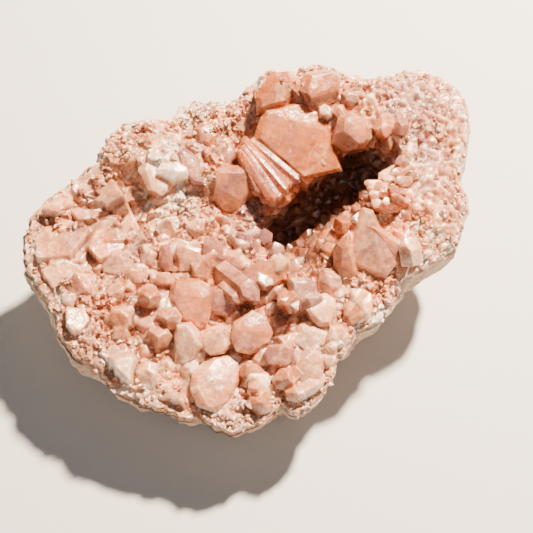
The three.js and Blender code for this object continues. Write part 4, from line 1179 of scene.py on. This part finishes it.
# faces meet in sharp edges, and rounded edges stay smooth
for piece in scattered + skinPieces + [prismPiece, broadPiece, groundPiece, rindPiece]:
    piece.data.shade_smooth()
    piece.data.set_sharp_from_angle(angle=math.radians(24))
for piece in scattered + skinPieces + [prismPiece, broadPiece, groundPiece]:
    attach(piece, "root")
    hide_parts("crystal_crust")
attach(rindPiece, "root")
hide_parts("rind")
print("pieces ride on the root")

studio = {  # headings and elevations in degrees, distances in m
    "heading": 30, "elevation": 60, "distance": 0.3, "target": (-0.0104, -0.0006, 0.030),
    "lens": 70, "sensor": 36, "frame": 533, "targetPixel": (246, 252),
    "floorReach": 3, "paper": "#d4d6d6",
    "lights": {
        "key": dict(heading=22, elevation=56, distance=0.7, size=0.06, power=36, colour="#ffe6c9"),
        "fill": dict(heading=200, elevation=50, distance=0.9, size=0.8, power=0.6, colour="#fff6f0"),
        "front": dict(heading=-110, elevation=60, distance=0.9, size=0.5, power=0.8, colour="#ffffff"),
    },
    "world": "#f0ebe6", "worldStrength": 0.12,
}


def paperFloor():
    # matt studio paper
    material, tree = newMaterial("mattStudioPaper")
    shader = addNode(tree, "ShaderNodeBsdfPrincipled", {
        "Base Color": linear(studio["paper"]), "Roughness": 0.9})
    addNode(tree, "ShaderNodeOutputMaterial", {"Surface": shader})
    return material


def addCamera():
    data = bpy.data.cameras.new("camera")
    data.lens, data.sensor_width = studio["lens"], studio["sensor"]
    middle = studio["frame"] / 2
    data.shift_x = (middle - studio["targetPixel"][0]) / studio["frame"]
    data.shift_y = (studio["targetPixel"][1] - middle) / studio["frame"]
    data.clip_start = 0.01
    camera = bpy.data.objects.new("camera", data)
    bpy.context.collection.objects.link(camera)
    a, e = math.radians(studio["heading"]), math.radians(studio["elevation"])
    ahead = Vector((math.sin(a) * math.cos(e), math.cos(a) * math.cos(e), -math.sin(e)))
    camera.location = Vector(studio["target"]) - ahead * studio["distance"]
    camera.rotation_euler = ahead.to_track_quat("-Z", "Y").to_euler()
    bpy.context.scene.camera = camera


def addLight(name, heading, elevation, distance, size, power, colour):
    data = bpy.data.lights.new(name, "AREA")
    data.shape, data.size, data.energy = "DISK", size, power
    data.color = linear(colour)[:3]
    light = bpy.data.objects.new(name, data)
    bpy.context.collection.objects.link(light)
    a, e = math.radians(heading), math.radians(elevation)
    out = Vector((math.cos(a) * math.cos(e), math.sin(a) * math.cos(e), math.sin(e)))
    light.location = out * distance
    light.rotation_euler = (-out).to_track_quat("-Z", "Y").to_euler()


far = studio["floorReach"]
floorCorners = [(-far, -far, 0), (far, -far, 0), (far, far, 0), (-far, far, 0)]
floor = newObject("floor", floorCorners, [(0, 1, 2, 3)], paperFloor())
addCamera()
for lightName, light in studio["lights"].items():
    addLight(lightName, **light)
world = bpy.data.worlds.new("studio")
world.use_nodes = True
background = world.node_tree.nodes["Background"].inputs
background["Color"].default_value = linear(studio["world"])
background["Strength"].default_value = studio["worldStrength"]
bpy.context.scene.world = world
print("floor, camera and lights set")

print("done")
